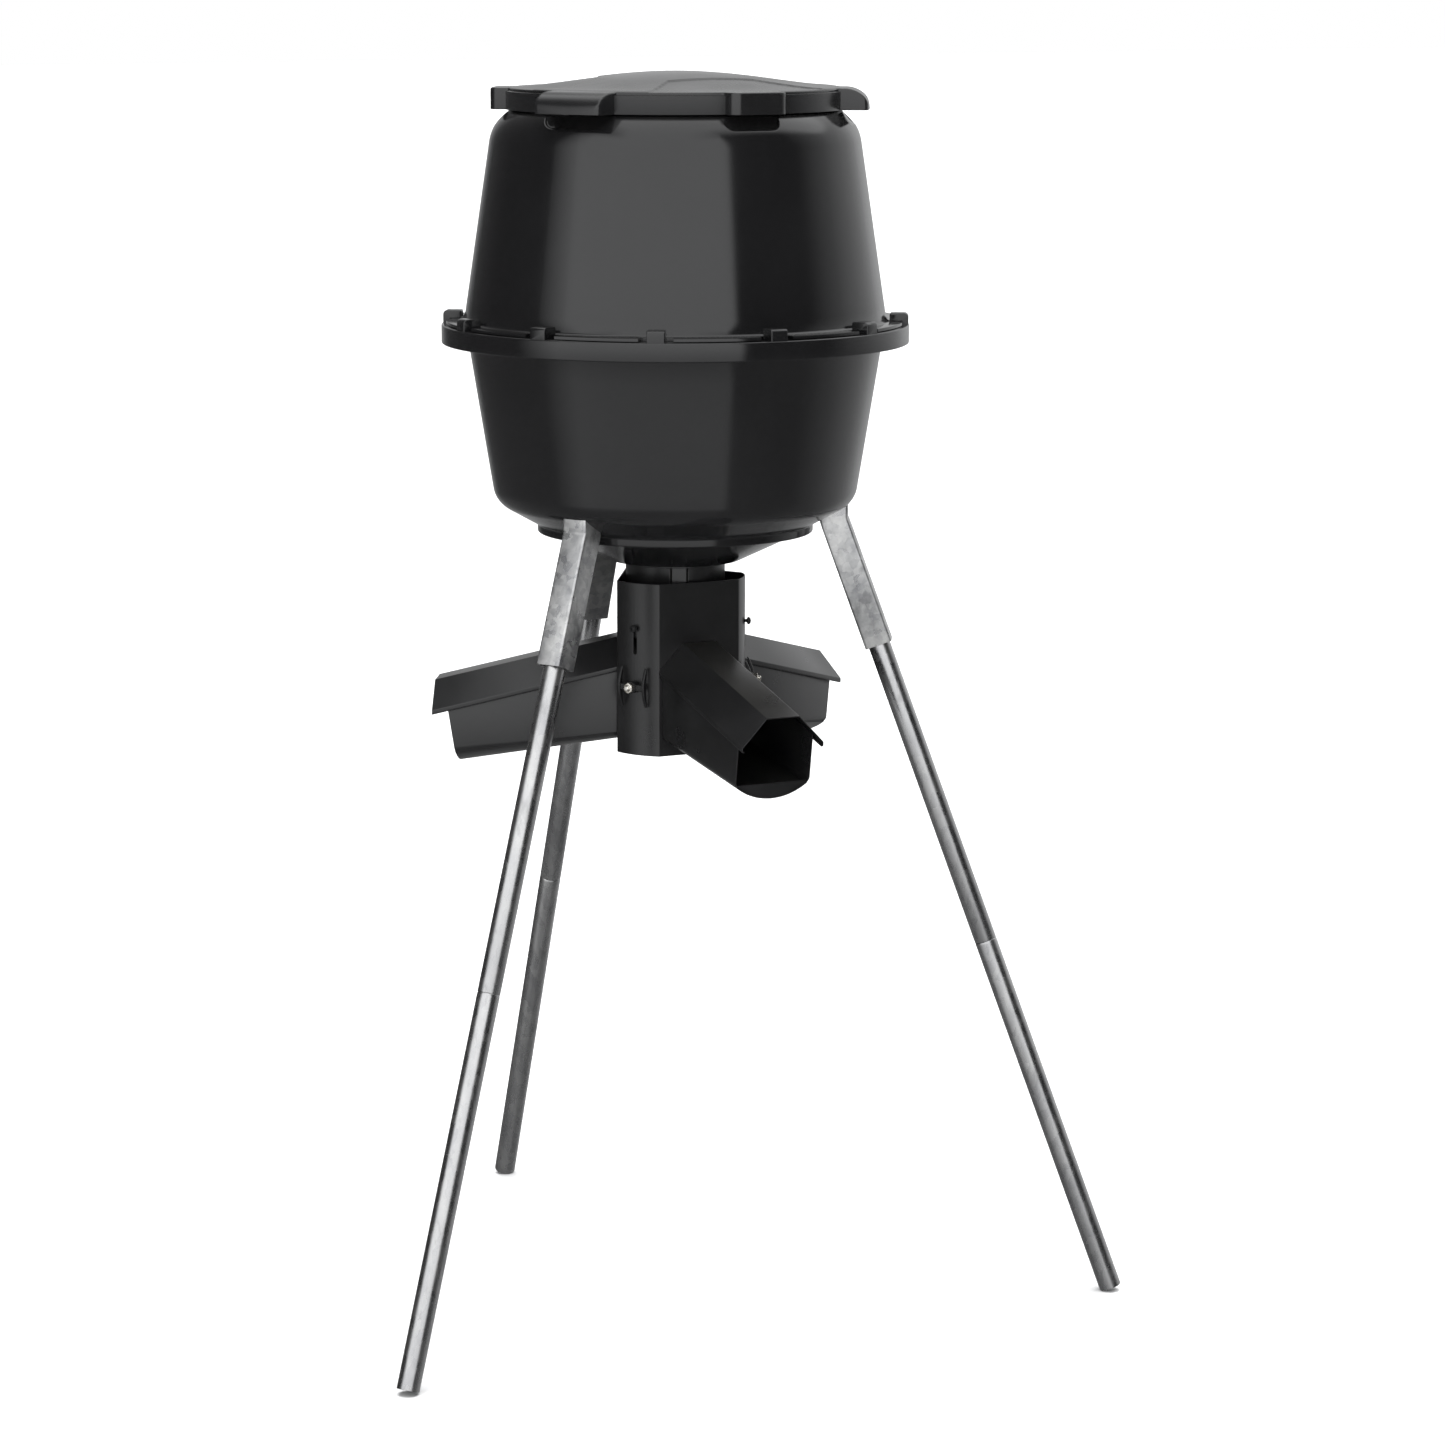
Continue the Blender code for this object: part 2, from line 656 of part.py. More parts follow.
def chute_opening(name, side):
    """The house-shaped way through a flat, a little smaller than the chute behind it."""
    half, low = TROUGH_HALF_WIDTH - 0.002, CREASE_HEIGHT + 0.002
    eave, ridge = EAVE_HEIGHT, RIDGE_HEIGHT - 0.004
    outline = [
        (-half, low),
        (half, low),
        (half, eave),
        (ROOF_HALF_TOP, ridge),
        (-ROOF_HALF_TOP, ridge),
        (-half, eave),
    ]
    turned_out = (math.pi / 2, 0.0, math.pi / 2)
    return plate(
        f"opening_{name}", [outline], 0.012, None, side, location=(HEAD_FLAT, 0.0, 0.0), rotation=turned_out
    )


def build_feed_cone():
    """A spreading cone on a floor plate, with three upturned ears for the wing bolts."""
    outline = head_outline(HEAD_FLAT - SHEET - 0.0006, HEAD_CORNER - SHEET - 0.0006)
    plate_middle = (0.0, 0.0, CONE_PLATE_TOP - SHEET / 2)
    cone = plate("feed_cone", [outline], SHEET, BLACK_STEEL, AXIS, location=plate_middle)
    base = CONE_PLATE_TOP - SHEET
    outside = [(0.0, CONE_APEX), (0.003, CONE_APEX - 0.002), (CONE_RADIUS, base + 0.0004), (0.0, base + 0.0004)]
    join(cone, turned("cone_outside", outside, None, AXIS, sides=30))
    inner_radius = CONE_RADIUS - 0.0025
    inside = [(0.0, CONE_APEX - 0.0035), (inner_radius, base - 0.0001), (inner_radius, base - 0.01), (0.0, base - 0.01)]
    for name, side in LEG_SIDES.items():
        low = (CONE_EAR_FACE - CONE_EAR_THICKNESS, -0.011, base + 0.0002)
        join(cone, box(f"cone_ear_{name}", low, (CONE_EAR_FACE, 0.011, CONE_EAR_TOP), None, side))
    cut(cone, turned("cone_inside", inside, None, AXIS, sides=30))
    for name, side in LEG_SIDES.items():
        cut(cone, radial_hole(f"cone_ear_hole_{name}", side, 0.086, 0.1, WING_HEIGHT))
    return cone


def trough_arc(reach, inset=0.0):
    """The trough's rounded floor at a distance from the axis: centre height, radius and half angle."""
    crease = CREASE_HEIGHT - CREASE_SLOPE * (reach - HEAD_FLAT)
    lowest = TROUGH_LOW_HEIGHT - TROUGH_LOW_SLOPE * (reach - HEAD_FLAT)
    sag = crease - lowest
    radius = (TROUGH_HALF_WIDTH**2 + sag**2) / (2 * sag)
    spread = math.degrees(math.asin((TROUGH_HALF_WIDTH - inset) / (radius - inset)))
    return lowest + radius, radius - inset, spread


def trough_section(top_reach, low_reach):
    """The trough's sheet: outside down, round and up, then back inside. Its end may slope."""
    eave = EAVE_HEIGHT - ROOF_SLOPE * (top_reach - HEAD_FLAT) + 0.0018
    centre, radius, spread = trough_arc(low_reach)
    outer_arc = arc((0.0, centre), radius, -90.0 - spread, -90.0 + spread, 10)
    centre, radius, spread = trough_arc(low_reach, SHEET)
    inner_arc = arc((0.0, centre), radius, -90.0 + spread, -90.0 - spread, 10)
    inner_half = TROUGH_HALF_WIDTH - SHEET
    path = [(-TROUGH_HALF_WIDTH, eave)] + outer_arc + [(TROUGH_HALF_WIDTH, eave)]
    path += [(inner_half, eave)] + inner_arc + [(-inner_half, eave)]
    lowest = min(height for _, height in path)
    slant = (low_reach - top_reach) / (eave - lowest)
    return [(top_reach + slant * (eave - height), across, height) for across, height in path]


def build_trough(name, side):
    start = trough_section(HEAD_FLAT + GAP, HEAD_FLAT + GAP)
    end = trough_section(TROUGH_END_TOP, TROUGH_END_LOW)
    trough = loft(f"chute_trough_{name}", [start, end], BLACK_STEEL, side)
    join(trough, feed_dam(name, side))
    return trough


def feed_dam(name, side):
    """The upright plate that closes the trough's rounded floor at its outer end."""
    reach = TROUGH_END_LOW - 0.0005
    centre, radius, spread = trough_arc(reach, SHEET / 2)
    outline = arc((0.0, centre), radius, -90.0 - spread, -90.0 + spread, 10)
    turned_out = (math.pi / 2, 0.0, math.pi / 2)
    place = {"location": (reach - SHEET / 2, 0.0, 0.0), "rotation": turned_out}
    return plate(f"feed_dam_{name}", [outline], SHEET, None, side, **place)


def roof_section(reach):
    """The folded cover's sheet: lip, slope, flat top, slope, lip, then back underneath."""
    drop = ROOF_SLOPE * (reach - HEAD_FLAT)
    ridge, eave = RIDGE_HEIGHT - drop, EAVE_HEIGHT - drop
    lip = eave - EAVE_LIP
    rise = (ridge - eave) / (ROOF_HALF_WIDTH - ROOF_HALF_TOP)
    inner_half = ROOF_HALF_WIDTH - SHEET
    inner_eave = eave - SHEET * (math.hypot(1.0, rise) - rise)
    inner_top = ROOF_HALF_TOP - SHEET * (math.hypot(1.0, rise) - 1.0) / rise
    outside = [(-ROOF_HALF_WIDTH, lip), (-ROOF_HALF_WIDTH, eave), (-ROOF_HALF_TOP, ridge)]
    outside += [(-across, height) for across, height in reversed(outside)]
    inside = [(inner_half, lip), (inner_half, inner_eave), (inner_top, ridge - SHEET)]
    inside += [(-across, height) for across, height in reversed(inside)]
    return [(reach, across, height) for across, height in outside + inside]


def build_roof(name, side):
    sections = [roof_section(HEAD_FLAT + GAP), roof_section(ROOF_END)]
    return loft(f"chute_roof_{name}", sections, BLACK_STEEL, side)


# ---- fasteners on the head ---------------------------------------------------------------------------


def build_hanger_screw(name, side):
    """Pan-head screw through the keyhole into the collar's ear, standing a little proud."""
    profile = [
        (0.0, 0.0315),
        (0.0030, 0.0312),
        (0.0050, 0.0295),
        (0.0052, 0.0275),
        (0.0025, 0.0255),
        (0.0025, 0.0008),
        (0.0017, 0.0),
        (0.0, 0.0),
    ]
    place = {"location": (0.0735, 0.0, SCREW_HEIGHT), "rotation": RADIAL}
    return turned(f"hanger_screw_{name}", profile, BLACK_FASTENER, side, **place)


def build_wing_bolt(name, side):
    """Round-headed bolt from inside the head, through the cone's ear and the housing."""
    inner_face = CONE_EAR_FACE - CONE_EAR_THICKNESS - GAP
    tip = 0.1195 - inner_face
    profile = [
        (0.0, tip),
        (0.0025, tip - 0.0006),
        (BOLT_RADIUS, tip - 0.0025),
        (BOLT_RADIUS, 0.0),
        (0.0085, 0.0),
        (0.0075, -0.0025),
        (0.0045, -0.0042),
        (0.0, -0.0048),
    ]
    place = {"location": (inner_face, 0.0, WING_HEIGHT), "rotation": RADIAL}
    return turned(f"wing_bolt_{name}", profile, ZINC, side, **place)


def wing_blade_outline():
    """A bowed blade: its tips reach back towards the housing, its middle stands away from it."""
    return [
        (0.027, 0.0022),
        (0.0270, 0.0036),
        (0.016, 0.0076),
        (0.006, 0.0110),
        (-0.006, 0.0110),
        (-0.016, 0.0076),
        (-0.0270, 0.0036),
        (-0.027, 0.0022),
        (-0.012, 0.0044),
        (0.012, 0.0044),
    ]


def build_wing_nut(name, side):
    """A hand nut: a hub, a crossbar and two long bowed blades."""
    place = {"location": (HEAD_CORNER, 0.0, WING_HEIGHT), "rotation": RADIAL}
    nut = prism(f"wing_nut_{name}", 0.0080, 20, 0.0006, 0.0112, BLACK_FASTENER, side, **place)
    holder = new_empty(f"wing_holder_{name}", side)
    holder.location = place["location"]
    holder.rotation_euler = RADIAL
    join(nut, box(f"wing_bar_{name}", (-0.0045, -0.0235, 0.0048), (0.0045, 0.0235, 0.0098), None, holder))
    for end in (-1.0, 1.0):
        blade_place = {"location": (0.0, 0.0200 * end, 0.0), "rotation": (math.pi / 2, 0.0, 0.0)}
        label = "low" if end < 0 else "high"
        join(nut, plate(f"wing_blade_{label}_{name}", [wing_blade_outline()], 0.0042, None, holder, **blade_place))
    cut(nut, prism(f"wing_bore_{name}", HOLE_RADIUS, BOLT_SIDES, -0.01, 0.02, None, holder))
    return nut


def build_hex_nut(name, material, side, start, height, width=0.013, depth=0.0065):
    """A hexagon nut whose inner face is at a distance from the axis."""
    place = {"location": (start, 0.0, height), "rotation": RADIAL}
    nut = prism(name, width / math.sqrt(3.0), 6, 0.0, depth, material, side, **place)
    bevel(nut, 0.0006, segments=1, angle=80.0)
    cut(nut, prism(f"{name}_bore", HOLE_RADIUS, BOLT_SIDES, -0.01, 0.02, None, side, **place))
    return nut


# ---- legs --------------------------------------------------------------------------------------------


def leg_radius(height):
    """Distance of a leg's centre line from the hopper's axis."""
    return FOOT_RADIUS - (height - FOOT_HEIGHT) * math.tan(LEG_LEAN)


def along_leg(height):
    """Distance up a leg's centre line from its foot."""
    return (height - FOOT_HEIGHT) / math.cos(LEG_LEAN)


def square_loop(middle, tilt, half):
    """Corners of a square tube's section whose plane is tipped by the tilt."""
    points = []
    for across, sideways in ((1, 1), (-1, 1), (-1, -1), (1, -1)):
        offset = across * half
        points.append((middle[0] + offset * math.cos(tilt), sideways * half, middle[1] + offset * math.sin(tilt)))
    return points


def bracket_mesh(half):
    """Open skin of the bent square tube, as a mesh: top, mitre and lower end."""
    bend_tilt = LEG_LEAN / 2
    mitre_half = half / math.cos(bend_tilt)
    stations = [
        square_loop((leg_radius(BRACKET_BEND_HEIGHT), BRACKET_TOP_HEIGHT), 0.0, half),
        square_loop((leg_radius(BRACKET_BEND_HEIGHT), BRACKET_BEND_HEIGHT), bend_tilt, mitre_half),
        square_loop((leg_radius(BRACKET_LOW_HEIGHT), BRACKET_LOW_HEIGHT), LEG_LEAN, half),
    ]
    for point in range(4):
        x, y, z = stations[1][point]
        stations[1][point] = (x, math.copysign(half, y), z)
    bm = bmesh.new()
    loops = [[bm.verts.new(point) for point in station] for station in stations]
    for first, second in zip(loops, loops[1:]):
        for i in range(4):
            j = (i + 1) % 4
            bm.faces.new((first[i], first[j], second[j], second[i]))
    bmesh.ops.recalc_face_normals(bm, faces=bm.faces)
    mesh = bpy.data.meshes.new("bracket")
    bm.to_mesh(mesh)
    bm.free()
    return mesh


def build_bracket(name, side):
    bracket = add_object(f"leg_bracket_{name}", bracket_mesh(BRACKET_SIDE / 2), GALVANISED, side)
    bevel(bracket, 0.0035, segments=3, angle=50.0)
    shell = bracket.modifiers.new("wall", "SOLIDIFY")
    shell.thickness = BRACKET_WALL
    shell.offset = -1.0
    shell.use_even_offset = True
    inner, _ = socket_radii()
    cut(bracket, radial_hole(f"bracket_hole_{name}", side, inner - 0.01, inner + 0.012, BRACKET_BOLT_HEIGHT))
    return bracket


def build_bracket_bolt(name, side):
    """Hexagon bolt driven from inside the hopper into the nut welded in the bracket."""
    inner, _ = socket_radii()
    head_face = inner - BOSS_WALL - GAP
    place = {"location": (head_face, 0.0, BRACKET_BOLT_HEIGHT), "rotation": RADIAL}
    bolt = prism(f"bracket_bolt_{name}", 0.0075, 6, -0.0053, 0.0, ZINC, side, **place)
    join(bolt, prism(f"bolt_shank_{name}", BOLT_RADIUS, BOLT_SIDES, -0.001, 0.0190, None, side, **place))
    return bolt


def tube_profile(low, high, outer, inner):
    return [(outer, high), (outer, low), (inner, low), (inner, high)]


def build_legs(name, azimuth):
    foot = (FOOT_RADIUS, 0.0, FOOT_HEIGHT)
    line = new_empty(f"leg_line_{name}", LEG_SIDES[name], location=foot, lean=LEG_LEAN)
    joint, top = along_leg(JOINT_HEIGHT), along_leg(UPPER_TUBE_TOP)
    inner = TUBE_RADIUS - TUBE_WALL
    upper = tube_profile(joint + GAP, top, TUBE_RADIUS, inner)
    turned(f"upper_leg_{name}", upper, GALVANISED, line, sides=TUBE_SIDES, closed=True)
    swage = inner - GAP
    neck = 0.004
    lower = [
        (swage, joint + SWAGE_LENGTH),
        (swage, joint),
        (TUBE_RADIUS, joint),
        (TUBE_RADIUS, 0.0),
        (inner, 0.0),
        (inner, joint - neck),
        (swage - TUBE_WALL, joint + neck),
        (swage - TUBE_WALL, joint + SWAGE_LENGTH),
    ]
    turned(f"lower_leg_{name}", lower, GALVANISED, line, sides=TUBE_SIDES, closed=True)


# ---- assembly ----------------------------------------------------------------------------------------


def build_feeder():
    build_lid()
    build_upper_barrel()
    build_lower_barrel()
    build_collar()
    build_collar_nut()
    build_head_housing()
    build_feed_cone()
    for name, side in CHUTE_SIDES.items():
        build_trough(name, side)
        build_roof(name, side)
    inner, _ = socket_radii()
    for name, side in LEG_SIDES.items():
        build_hanger_screw(name, side)
        build_wing_bolt(name, side)
        build_wing_nut(name, side)
        build_hex_nut(f"lock_nut_{name}", ZINC, side, HEAD_CORNER + 0.0112 + GAP, WING_HEIGHT)
        build_bracket(name, side)
        build_bracket_bolt(name, side)
        weld_nut_face = inner + 0.0004 + BRACKET_WALL + GAP
        build_hex_nut(f"bracket_nut_{name}", ZINC, side, weld_nut_face, BRACKET_BOLT_HEIGHT)
        build_legs(name, LEG_AZIMUTHS[name])


def apply_and_shade():
    """Bakes each piece's modifiers, then shades it smooth between its sharp edges."""
    baked = {obj: evaluated_mesh(obj) for obj in PARTS.objects if obj.type == "MESH"}
    for obj, mesh in baked.items():
        obj.modifiers.clear()
        obj.data = mesh
        mesh.shade_smooth()
        mesh.set_sharp_from_angle(angle=math.radians(32.0))


build_feeder()
apply_and_shade()
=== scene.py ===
"""Looks for the gravity game feeder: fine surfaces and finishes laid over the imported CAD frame.

Metres, +Z up, ground at z = 0. Every piece is modelled round the hopper's own axis with +X pointing away
from it, then turned to its azimuth and moved to the axis, so its vertices hold world coordinates.
"""

import json
import math

import bmesh
import bpy
import numpy as np
from mathutils import Matrix, Vector


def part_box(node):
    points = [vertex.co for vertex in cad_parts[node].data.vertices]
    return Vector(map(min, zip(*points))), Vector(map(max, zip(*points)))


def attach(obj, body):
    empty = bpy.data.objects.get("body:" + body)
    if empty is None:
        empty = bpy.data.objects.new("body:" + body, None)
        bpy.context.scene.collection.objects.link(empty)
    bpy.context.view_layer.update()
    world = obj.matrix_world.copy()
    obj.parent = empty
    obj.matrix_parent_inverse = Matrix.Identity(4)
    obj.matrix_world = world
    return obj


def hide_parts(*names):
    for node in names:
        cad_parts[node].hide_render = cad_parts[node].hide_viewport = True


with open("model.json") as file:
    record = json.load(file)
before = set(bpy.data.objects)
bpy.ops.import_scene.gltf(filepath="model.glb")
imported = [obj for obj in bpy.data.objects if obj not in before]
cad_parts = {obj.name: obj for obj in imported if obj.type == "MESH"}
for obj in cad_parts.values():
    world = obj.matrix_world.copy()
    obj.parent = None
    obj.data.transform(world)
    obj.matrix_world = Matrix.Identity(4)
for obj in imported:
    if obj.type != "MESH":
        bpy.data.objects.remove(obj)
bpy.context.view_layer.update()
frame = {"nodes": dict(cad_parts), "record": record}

# ---- the object's dimensions, as in the CAD ----

low_corner, high_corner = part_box("lower_barrel")
AXIS_Y = (low_corner.y + high_corner.y) / 2  # the hopper's axis stands at x = 0 and this y

LEGS = {"back": 90.0, "left": 210.0, "right": 330.0}
CHUTES = {"front": 270.0, "right": 30.0, "left": 150.0}

WALL = 0.004
NECK, NECK_TOP = 0.2195, 1.673
SHOULDER, SHOULDER_R = (0.1938, 1.5987), 0.060
UPPER_TAPER, LOWER_TAPER = math.radians(8.38), math.radians(9.26)
POCKET_IN, POCKET_FLOOR = 0.2275, 1.631
RING_R, RING_TOP, RING_LOW, RING_PLATE = 0.320, 1.3605, 1.335, 0.005
FLANGE_R, FLANGE_LOW, FLANGE_TOP = 0.3135, 1.3608, 1.3658
SPIGOT_R, SPIGOT_LOW = 0.2775, 1.340
CORNER, CORNER_R = (0.2150, 1.1408), 0.036
BOTTOM_SLOPE = math.radians(29.0)
LEDGE_R, LEDGE_TOP, LEDGE_LOW = 0.190, 1.087, 1.0746
FUNNEL_R, LIP_R, LIP_LOW, LIP_T, THROAT_R = 0.172, 0.090, 1.035, 0.0048, 0.070

LID_R, LID_LOW, LID_EDGE, LID_APEX, LID_TURN = 0.2265, 1.6508, 1.6815, 1.702, 1.5
GRIP_R, GRIP_HALF, LUG_R, LUG_HALF, LOBE_WALL = 0.2640, 0.0515, 0.2500, 0.0414, 0.0035

HEAD_LOW, HEAD_TOP, HEAD_FLAT, HEAD_R, SHEET = 0.773, 1.0115, 0.0755, 0.09675, 0.0015
SCREW_Z, WING_Z = 0.949, 0.8684
SLOT_HALF, KEYHOLE_R, SLOT_LOW = 0.0029, 0.0045, 0.9128
COLLAR_R, COLLAR_IN, COLLAR_LOW, COLLAR_TOP = 0.0686, 0.0652, 0.905, 1.053
HOLE_R = 0.0044

# Chutes: heights at the head's flat side, slopes as the drop per metre outwards.
CHUTE_START = HEAD_FLAT + 0.0003
RIDGE_HALF, RIDGE_Z, EAVE_HALF, EAVE_Z, ROOF_SLOPE, ROOF_END = 0.0243, 0.929, 0.0605, 0.8914, 0.25, 0.333
TROUGH_HALF, CREASE_Z, CREASE_SLOPE, FLOOR_Z, FLOOR_SLOPE = 0.0555, 0.7975, 0.124, 0.7842, 0.157
TROUGH_TOP_END, TROUGH_LOW_END, DAM_REACH = 0.3124, 0.299, 0.2985

LEAN = math.radians(20.04)
TUBE_R, TUBE_WALL, FOOT_R = 0.0154, 0.0012, 0.6159
FOOT_Z = TUBE_R * math.sin(LEAN)
JOINT_Z, UPPER_TOP, SWAGE = 0.503, 1.030, 0.055
BRACKET, BRACKET_WALL, SOCKET_GAP = 0.038, 0.002, 0.0004
BRACKET_LOW, BRACKET_BEND, BRACKET_TOP, BRACKET_BOLT = 0.9194, 1.0925, 1.165, 1.143


def upper_wall(z):
    start = SHOULDER[0] + SHOULDER_R * math.cos(UPPER_TAPER)
    return start + (SHOULDER[1] + SHOULDER_R * math.sin(UPPER_TAPER) - z) * math.tan(UPPER_TAPER)


def lower_wall(z):
    start = CORNER[0] + CORNER_R * math.cos(LOWER_TAPER)
    return start + (z - CORNER[1] + CORNER_R * math.sin(LOWER_TAPER)) * math.tan(LOWER_TAPER)


def leg_radius(z):
    return FOOT_R - (z - FOOT_Z) * math.tan(LEAN)


# ---- finishes ----


class Nodes:
    """Adds nodes to a tree. Inputs are named, or numbered as i0, i1 and so on."""

    def __init__(self, tree):
        self.tree = tree

    def node(self, kind, settings=None, **inputs):
        node = self.tree.nodes.new(f"ShaderNode{kind}")
        for key, value in (settings or {}).items():
            setattr(node, key, value)
        for key, value in inputs.items():
            numbered = key[0] == "i" and key[1:].isdigit()
            socket = node.inputs[int(key[1:]) if numbered else key.replace("_", " ")]
            if isinstance(value, bpy.types.NodeSocket):
                self.tree.links.new(value, socket)
            else:
                socket.default_value = value
        return node

    def maths(self, operation, a, b):
        return self.node("Math", {"operation": operation}, i0=a, i1=b).outputs[0]

    def span(self, value, low, high, to_low=0.0, to_high=1.0, curve="LINEAR"):
        """Maps a range of a value to another range, clamped."""
        settings = {"interpolation_type": curve}
        return self.node("MapRange", settings, i0=value, i1=low, i2=high, i3=to_low, i4=to_high).outputs[0]


class Finish(Nodes):
    """A Principled material, textured in the object's own coordinates."""

    def __init__(self, name, metallic=0.0):
        self.material = bpy.data.materials.new(name)
        self.material.use_nodes = True
        super().__init__(self.material.node_tree)
        self.shader = self.tree.nodes["Principled BSDF"]
        self.shader.inputs["Metallic"].default_value = metallic
        self.shader.inputs["IOR"].default_value = 1.5
        self.where = self.tree.nodes.new("ShaderNodeTexCoord").outputs["Object"]

    def stretched(self, x, y, z):
        return self.node("Mapping", Vector=self.where, Scale=(x, y, z)).outputs["Vector"]

    def noise(self, scale, detail=3.0, roughness=0.5, where=None):
        inputs = {"Vector": where or self.where, "Scale": scale, "Detail": detail, "Roughness": roughness}
        return self.node("TexNoise", **inputs).outputs["Fac"]

    def blend(self, factor, a, b):
        mix = self.node("Mix", {"data_type": "RGBA"}, i0=factor, i6=(*a, 1.0) if isinstance(a, tuple) else a)
        if isinstance(b, tuple):
            mix.inputs[7].default_value = (*b, 1.0)
        else:
            self.tree.links.new(b, mix.inputs[7])
        return mix.outputs[2]

    def upward(self, low, high):
        """1 where the surface faces up, 0 below."""
        normal = self.node("NewGeometry").outputs["Normal"]
        return self.span(self.node("SeparateXYZ", Vector=normal).outputs["Z"], low, high)

    def finish(self, colour, roughness, *bumps):
        """Bumps are (height, distance) pairs, the broadest first."""
        self.tree.links.new(colour, self.shader.inputs["Base Color"])
        self.tree.links.new(roughness, self.shader.inputs["Roughness"])
        normal = None
        for height, distance in bumps:
            bump = self.node("Bump", Height=height, Distance=distance, Strength=1.0)
            if normal is not None:
                self.tree.links.new(normal, bump.inputs["Normal"])
            normal = bump.outputs["Normal"]
        if normal is not None:
            self.tree.links.new(normal, self.shader.inputs["Normal"])
        return self.material


def moulded_plastic(name, dark, light, gloss, dull, powdery=0.18):
    """Black moulded plastic: cloudy sheen, fine grain, a little dust on top and a few rubbed streaks."""
    f = Finish(name)
    cloud = f.noise(5.0, 3.0)
    rub = f.span(f.noise(16.0, 5.0, 0.62, f.stretched(1.0, 1.0, 0.22)), 0.62, 0.80)
    dust = f.maths("MULTIPLY", f.upward(0.45, 1.0), f.span(f.noise(7.0, 4.0, 0.6), 0.35, 0.75))
    colour = f.blend(f.span(cloud, 0.3, 0.7), dark, light)
    colour = f.blend(f.maths("MULTIPLY", rub, 0.18), colour, tuple(2.2 * c for c in light))
    colour = f.blend(f.maths("MULTIPLY", dust, powdery), colour, (0.060, 0.058, 0.054))
    worn = f.maths("ADD", f.span(cloud, 0.25, 0.75, gloss, dull), f.maths("MULTIPLY", rub, 0.05))
    worn = f.maths("ADD", worn, f.maths("MULTIPLY", dust, 0.08))
    wave, grain = f.noise(26.0, 1.0), f.noise(900.0, 2.0)
    return f.finish(colour, worn, (wave, 0.00005), (grain, 0.000012))


def powder_coat(name, dark, light):
    """Satin black powder coat: orange peel, specks, faintly greyer rubbed areas and a film of dust on top that
    also paints the upward faces lighter as painted top light.
    """
    f = Finish(name)
    cloud = f.noise(13.0, 4.0)
    speck = f.span(f.noise(420.0, 2.0), 0.72, 0.80)
    rub = f.span(f.noise(30.0, 6.0, 0.7), 0.60, 0.80)
    colour = f.blend(f.span(cloud, 0.3, 0.7), dark, light)
    colour = f.blend(f.maths("MULTIPLY", rub, 0.06), colour, (0.035, 0.035, 0.036))
    colour = f.blend(f.maths("MULTIPLY", speck, 0.15), colour, (0.07, 0.07, 0.068))
    # Dust on upward faces, partly real dust and partly painted light: it makes the tops of the sheets lighter.
    dust = f.maths("MULTIPLY", f.upward(0.85, 0.96), f.span(f.noise(9.0, 5.0, 0.6), 0.25, 0.70, 0.35, 0.75))
    colour = f.blend(dust, colour, (0.036, 0.035, 0.033))
    rough = f.maths("ADD", f.span(cloud, 0.3, 0.7, 0.27, 0.34), f.maths("MULTIPLY", rub, 0.015))
    return f.finish(colour, rough, (f.noise(520.0, 1.0), 0.00004), (f.noise(1500.0, 1.0), 0.00001))


def galvanised(name, dark, light, metallic, gloss, dull, stretch, uneven):
    """Hot-dip zinc: interlocking spangle, cloudy patches, darker stains and a few pale runs."""
    f = Finish(name, metallic)
    where = f.stretched(1.0, 1.0, stretch)
    warp = f.node("TexNoise", Vector=where, Scale=70.0, Detail=3.0).outputs["Color"]
    bent = f.node("VectorMath", {"operation": "MULTIPLY_ADD"}, i0=warp, i1=(0.012,) * 3, i2=where).outputs[0]
    cells = f.node("TexVoronoi", Vector=bent, Scale=125.0)
    shade = f.node("SeparateColor", Color=cells.outputs["Color"]).outputs[0]
    patch = f.noise(21.0, 5.0, 0.62, where)
    stain = f.span(f.noise(34.0, 6.0, 0.68, f.stretched(1.0, 1.0, 0.5 * stretch)), 0.54, 0.70)
    tone = f.maths("ADD", f.maths("MULTIPLY", shade, 0.34), f.span(patch, 0.30, 0.70, 0.0, 0.66))
    colour = f.blend(tone, dark, light)
    colour = f.blend(f.maths("MULTIPLY", stain, 0.45), colour, tuple(0.42 * c for c in dark))
    rough = f.maths("ADD", f.span(shade, 0.0, 1.0, gloss, dull), f.maths("MULTIPLY", stain, 0.12))
    return f.finish(colour, rough, (patch, uneven), (shade, 0.00002), (f.noise(700.0, 3.0), 0.00002))


def bright_zinc(name):
    f = Finish(name, 1.0)
    cloud = f.noise(160.0, 4.0)
    colour = f.blend(f.span(cloud, 0.3, 0.7), (0.62, 0.58, 0.50), (0.80, 0.78, 0.74))
    grime = f.span(f.noise(240.0, 5.0, 0.7), 0.58, 0.75)
    colour = f.blend(f.maths("MULTIPLY", grime, 0.5), colour, (0.20, 0.17, 0.13))
    rough = f.maths("ADD", f.span(cloud, 0.3, 0.7, 0.20, 0.34), f.maths("MULTIPLY", grime, 0.2))
    return f.finish(colour, rough, (f.noise(900.0, 2.0), 0.00002))


def black_oxide(name, gloss, dull):
    f = Finish(name, 0.2)
    cloud = f.noise(120.0, 4.0)
    worn = f.span(f.noise(260.0, 5.0, 0.65), 0.60, 0.74)
    colour = f.blend(f.span(cloud, 0.3, 0.7), (0.006, 0.006, 0.0065), (0.011, 0.011, 0.0115))
    colour = f.blend(f.maths("MULTIPLY", worn, 0.3), colour, (0.06, 0.06, 0.06))
    return f.finish(colour, f.span(cloud, 0.3, 0.7, gloss, dull), (f.noise(800.0, 2.0), 0.00004))


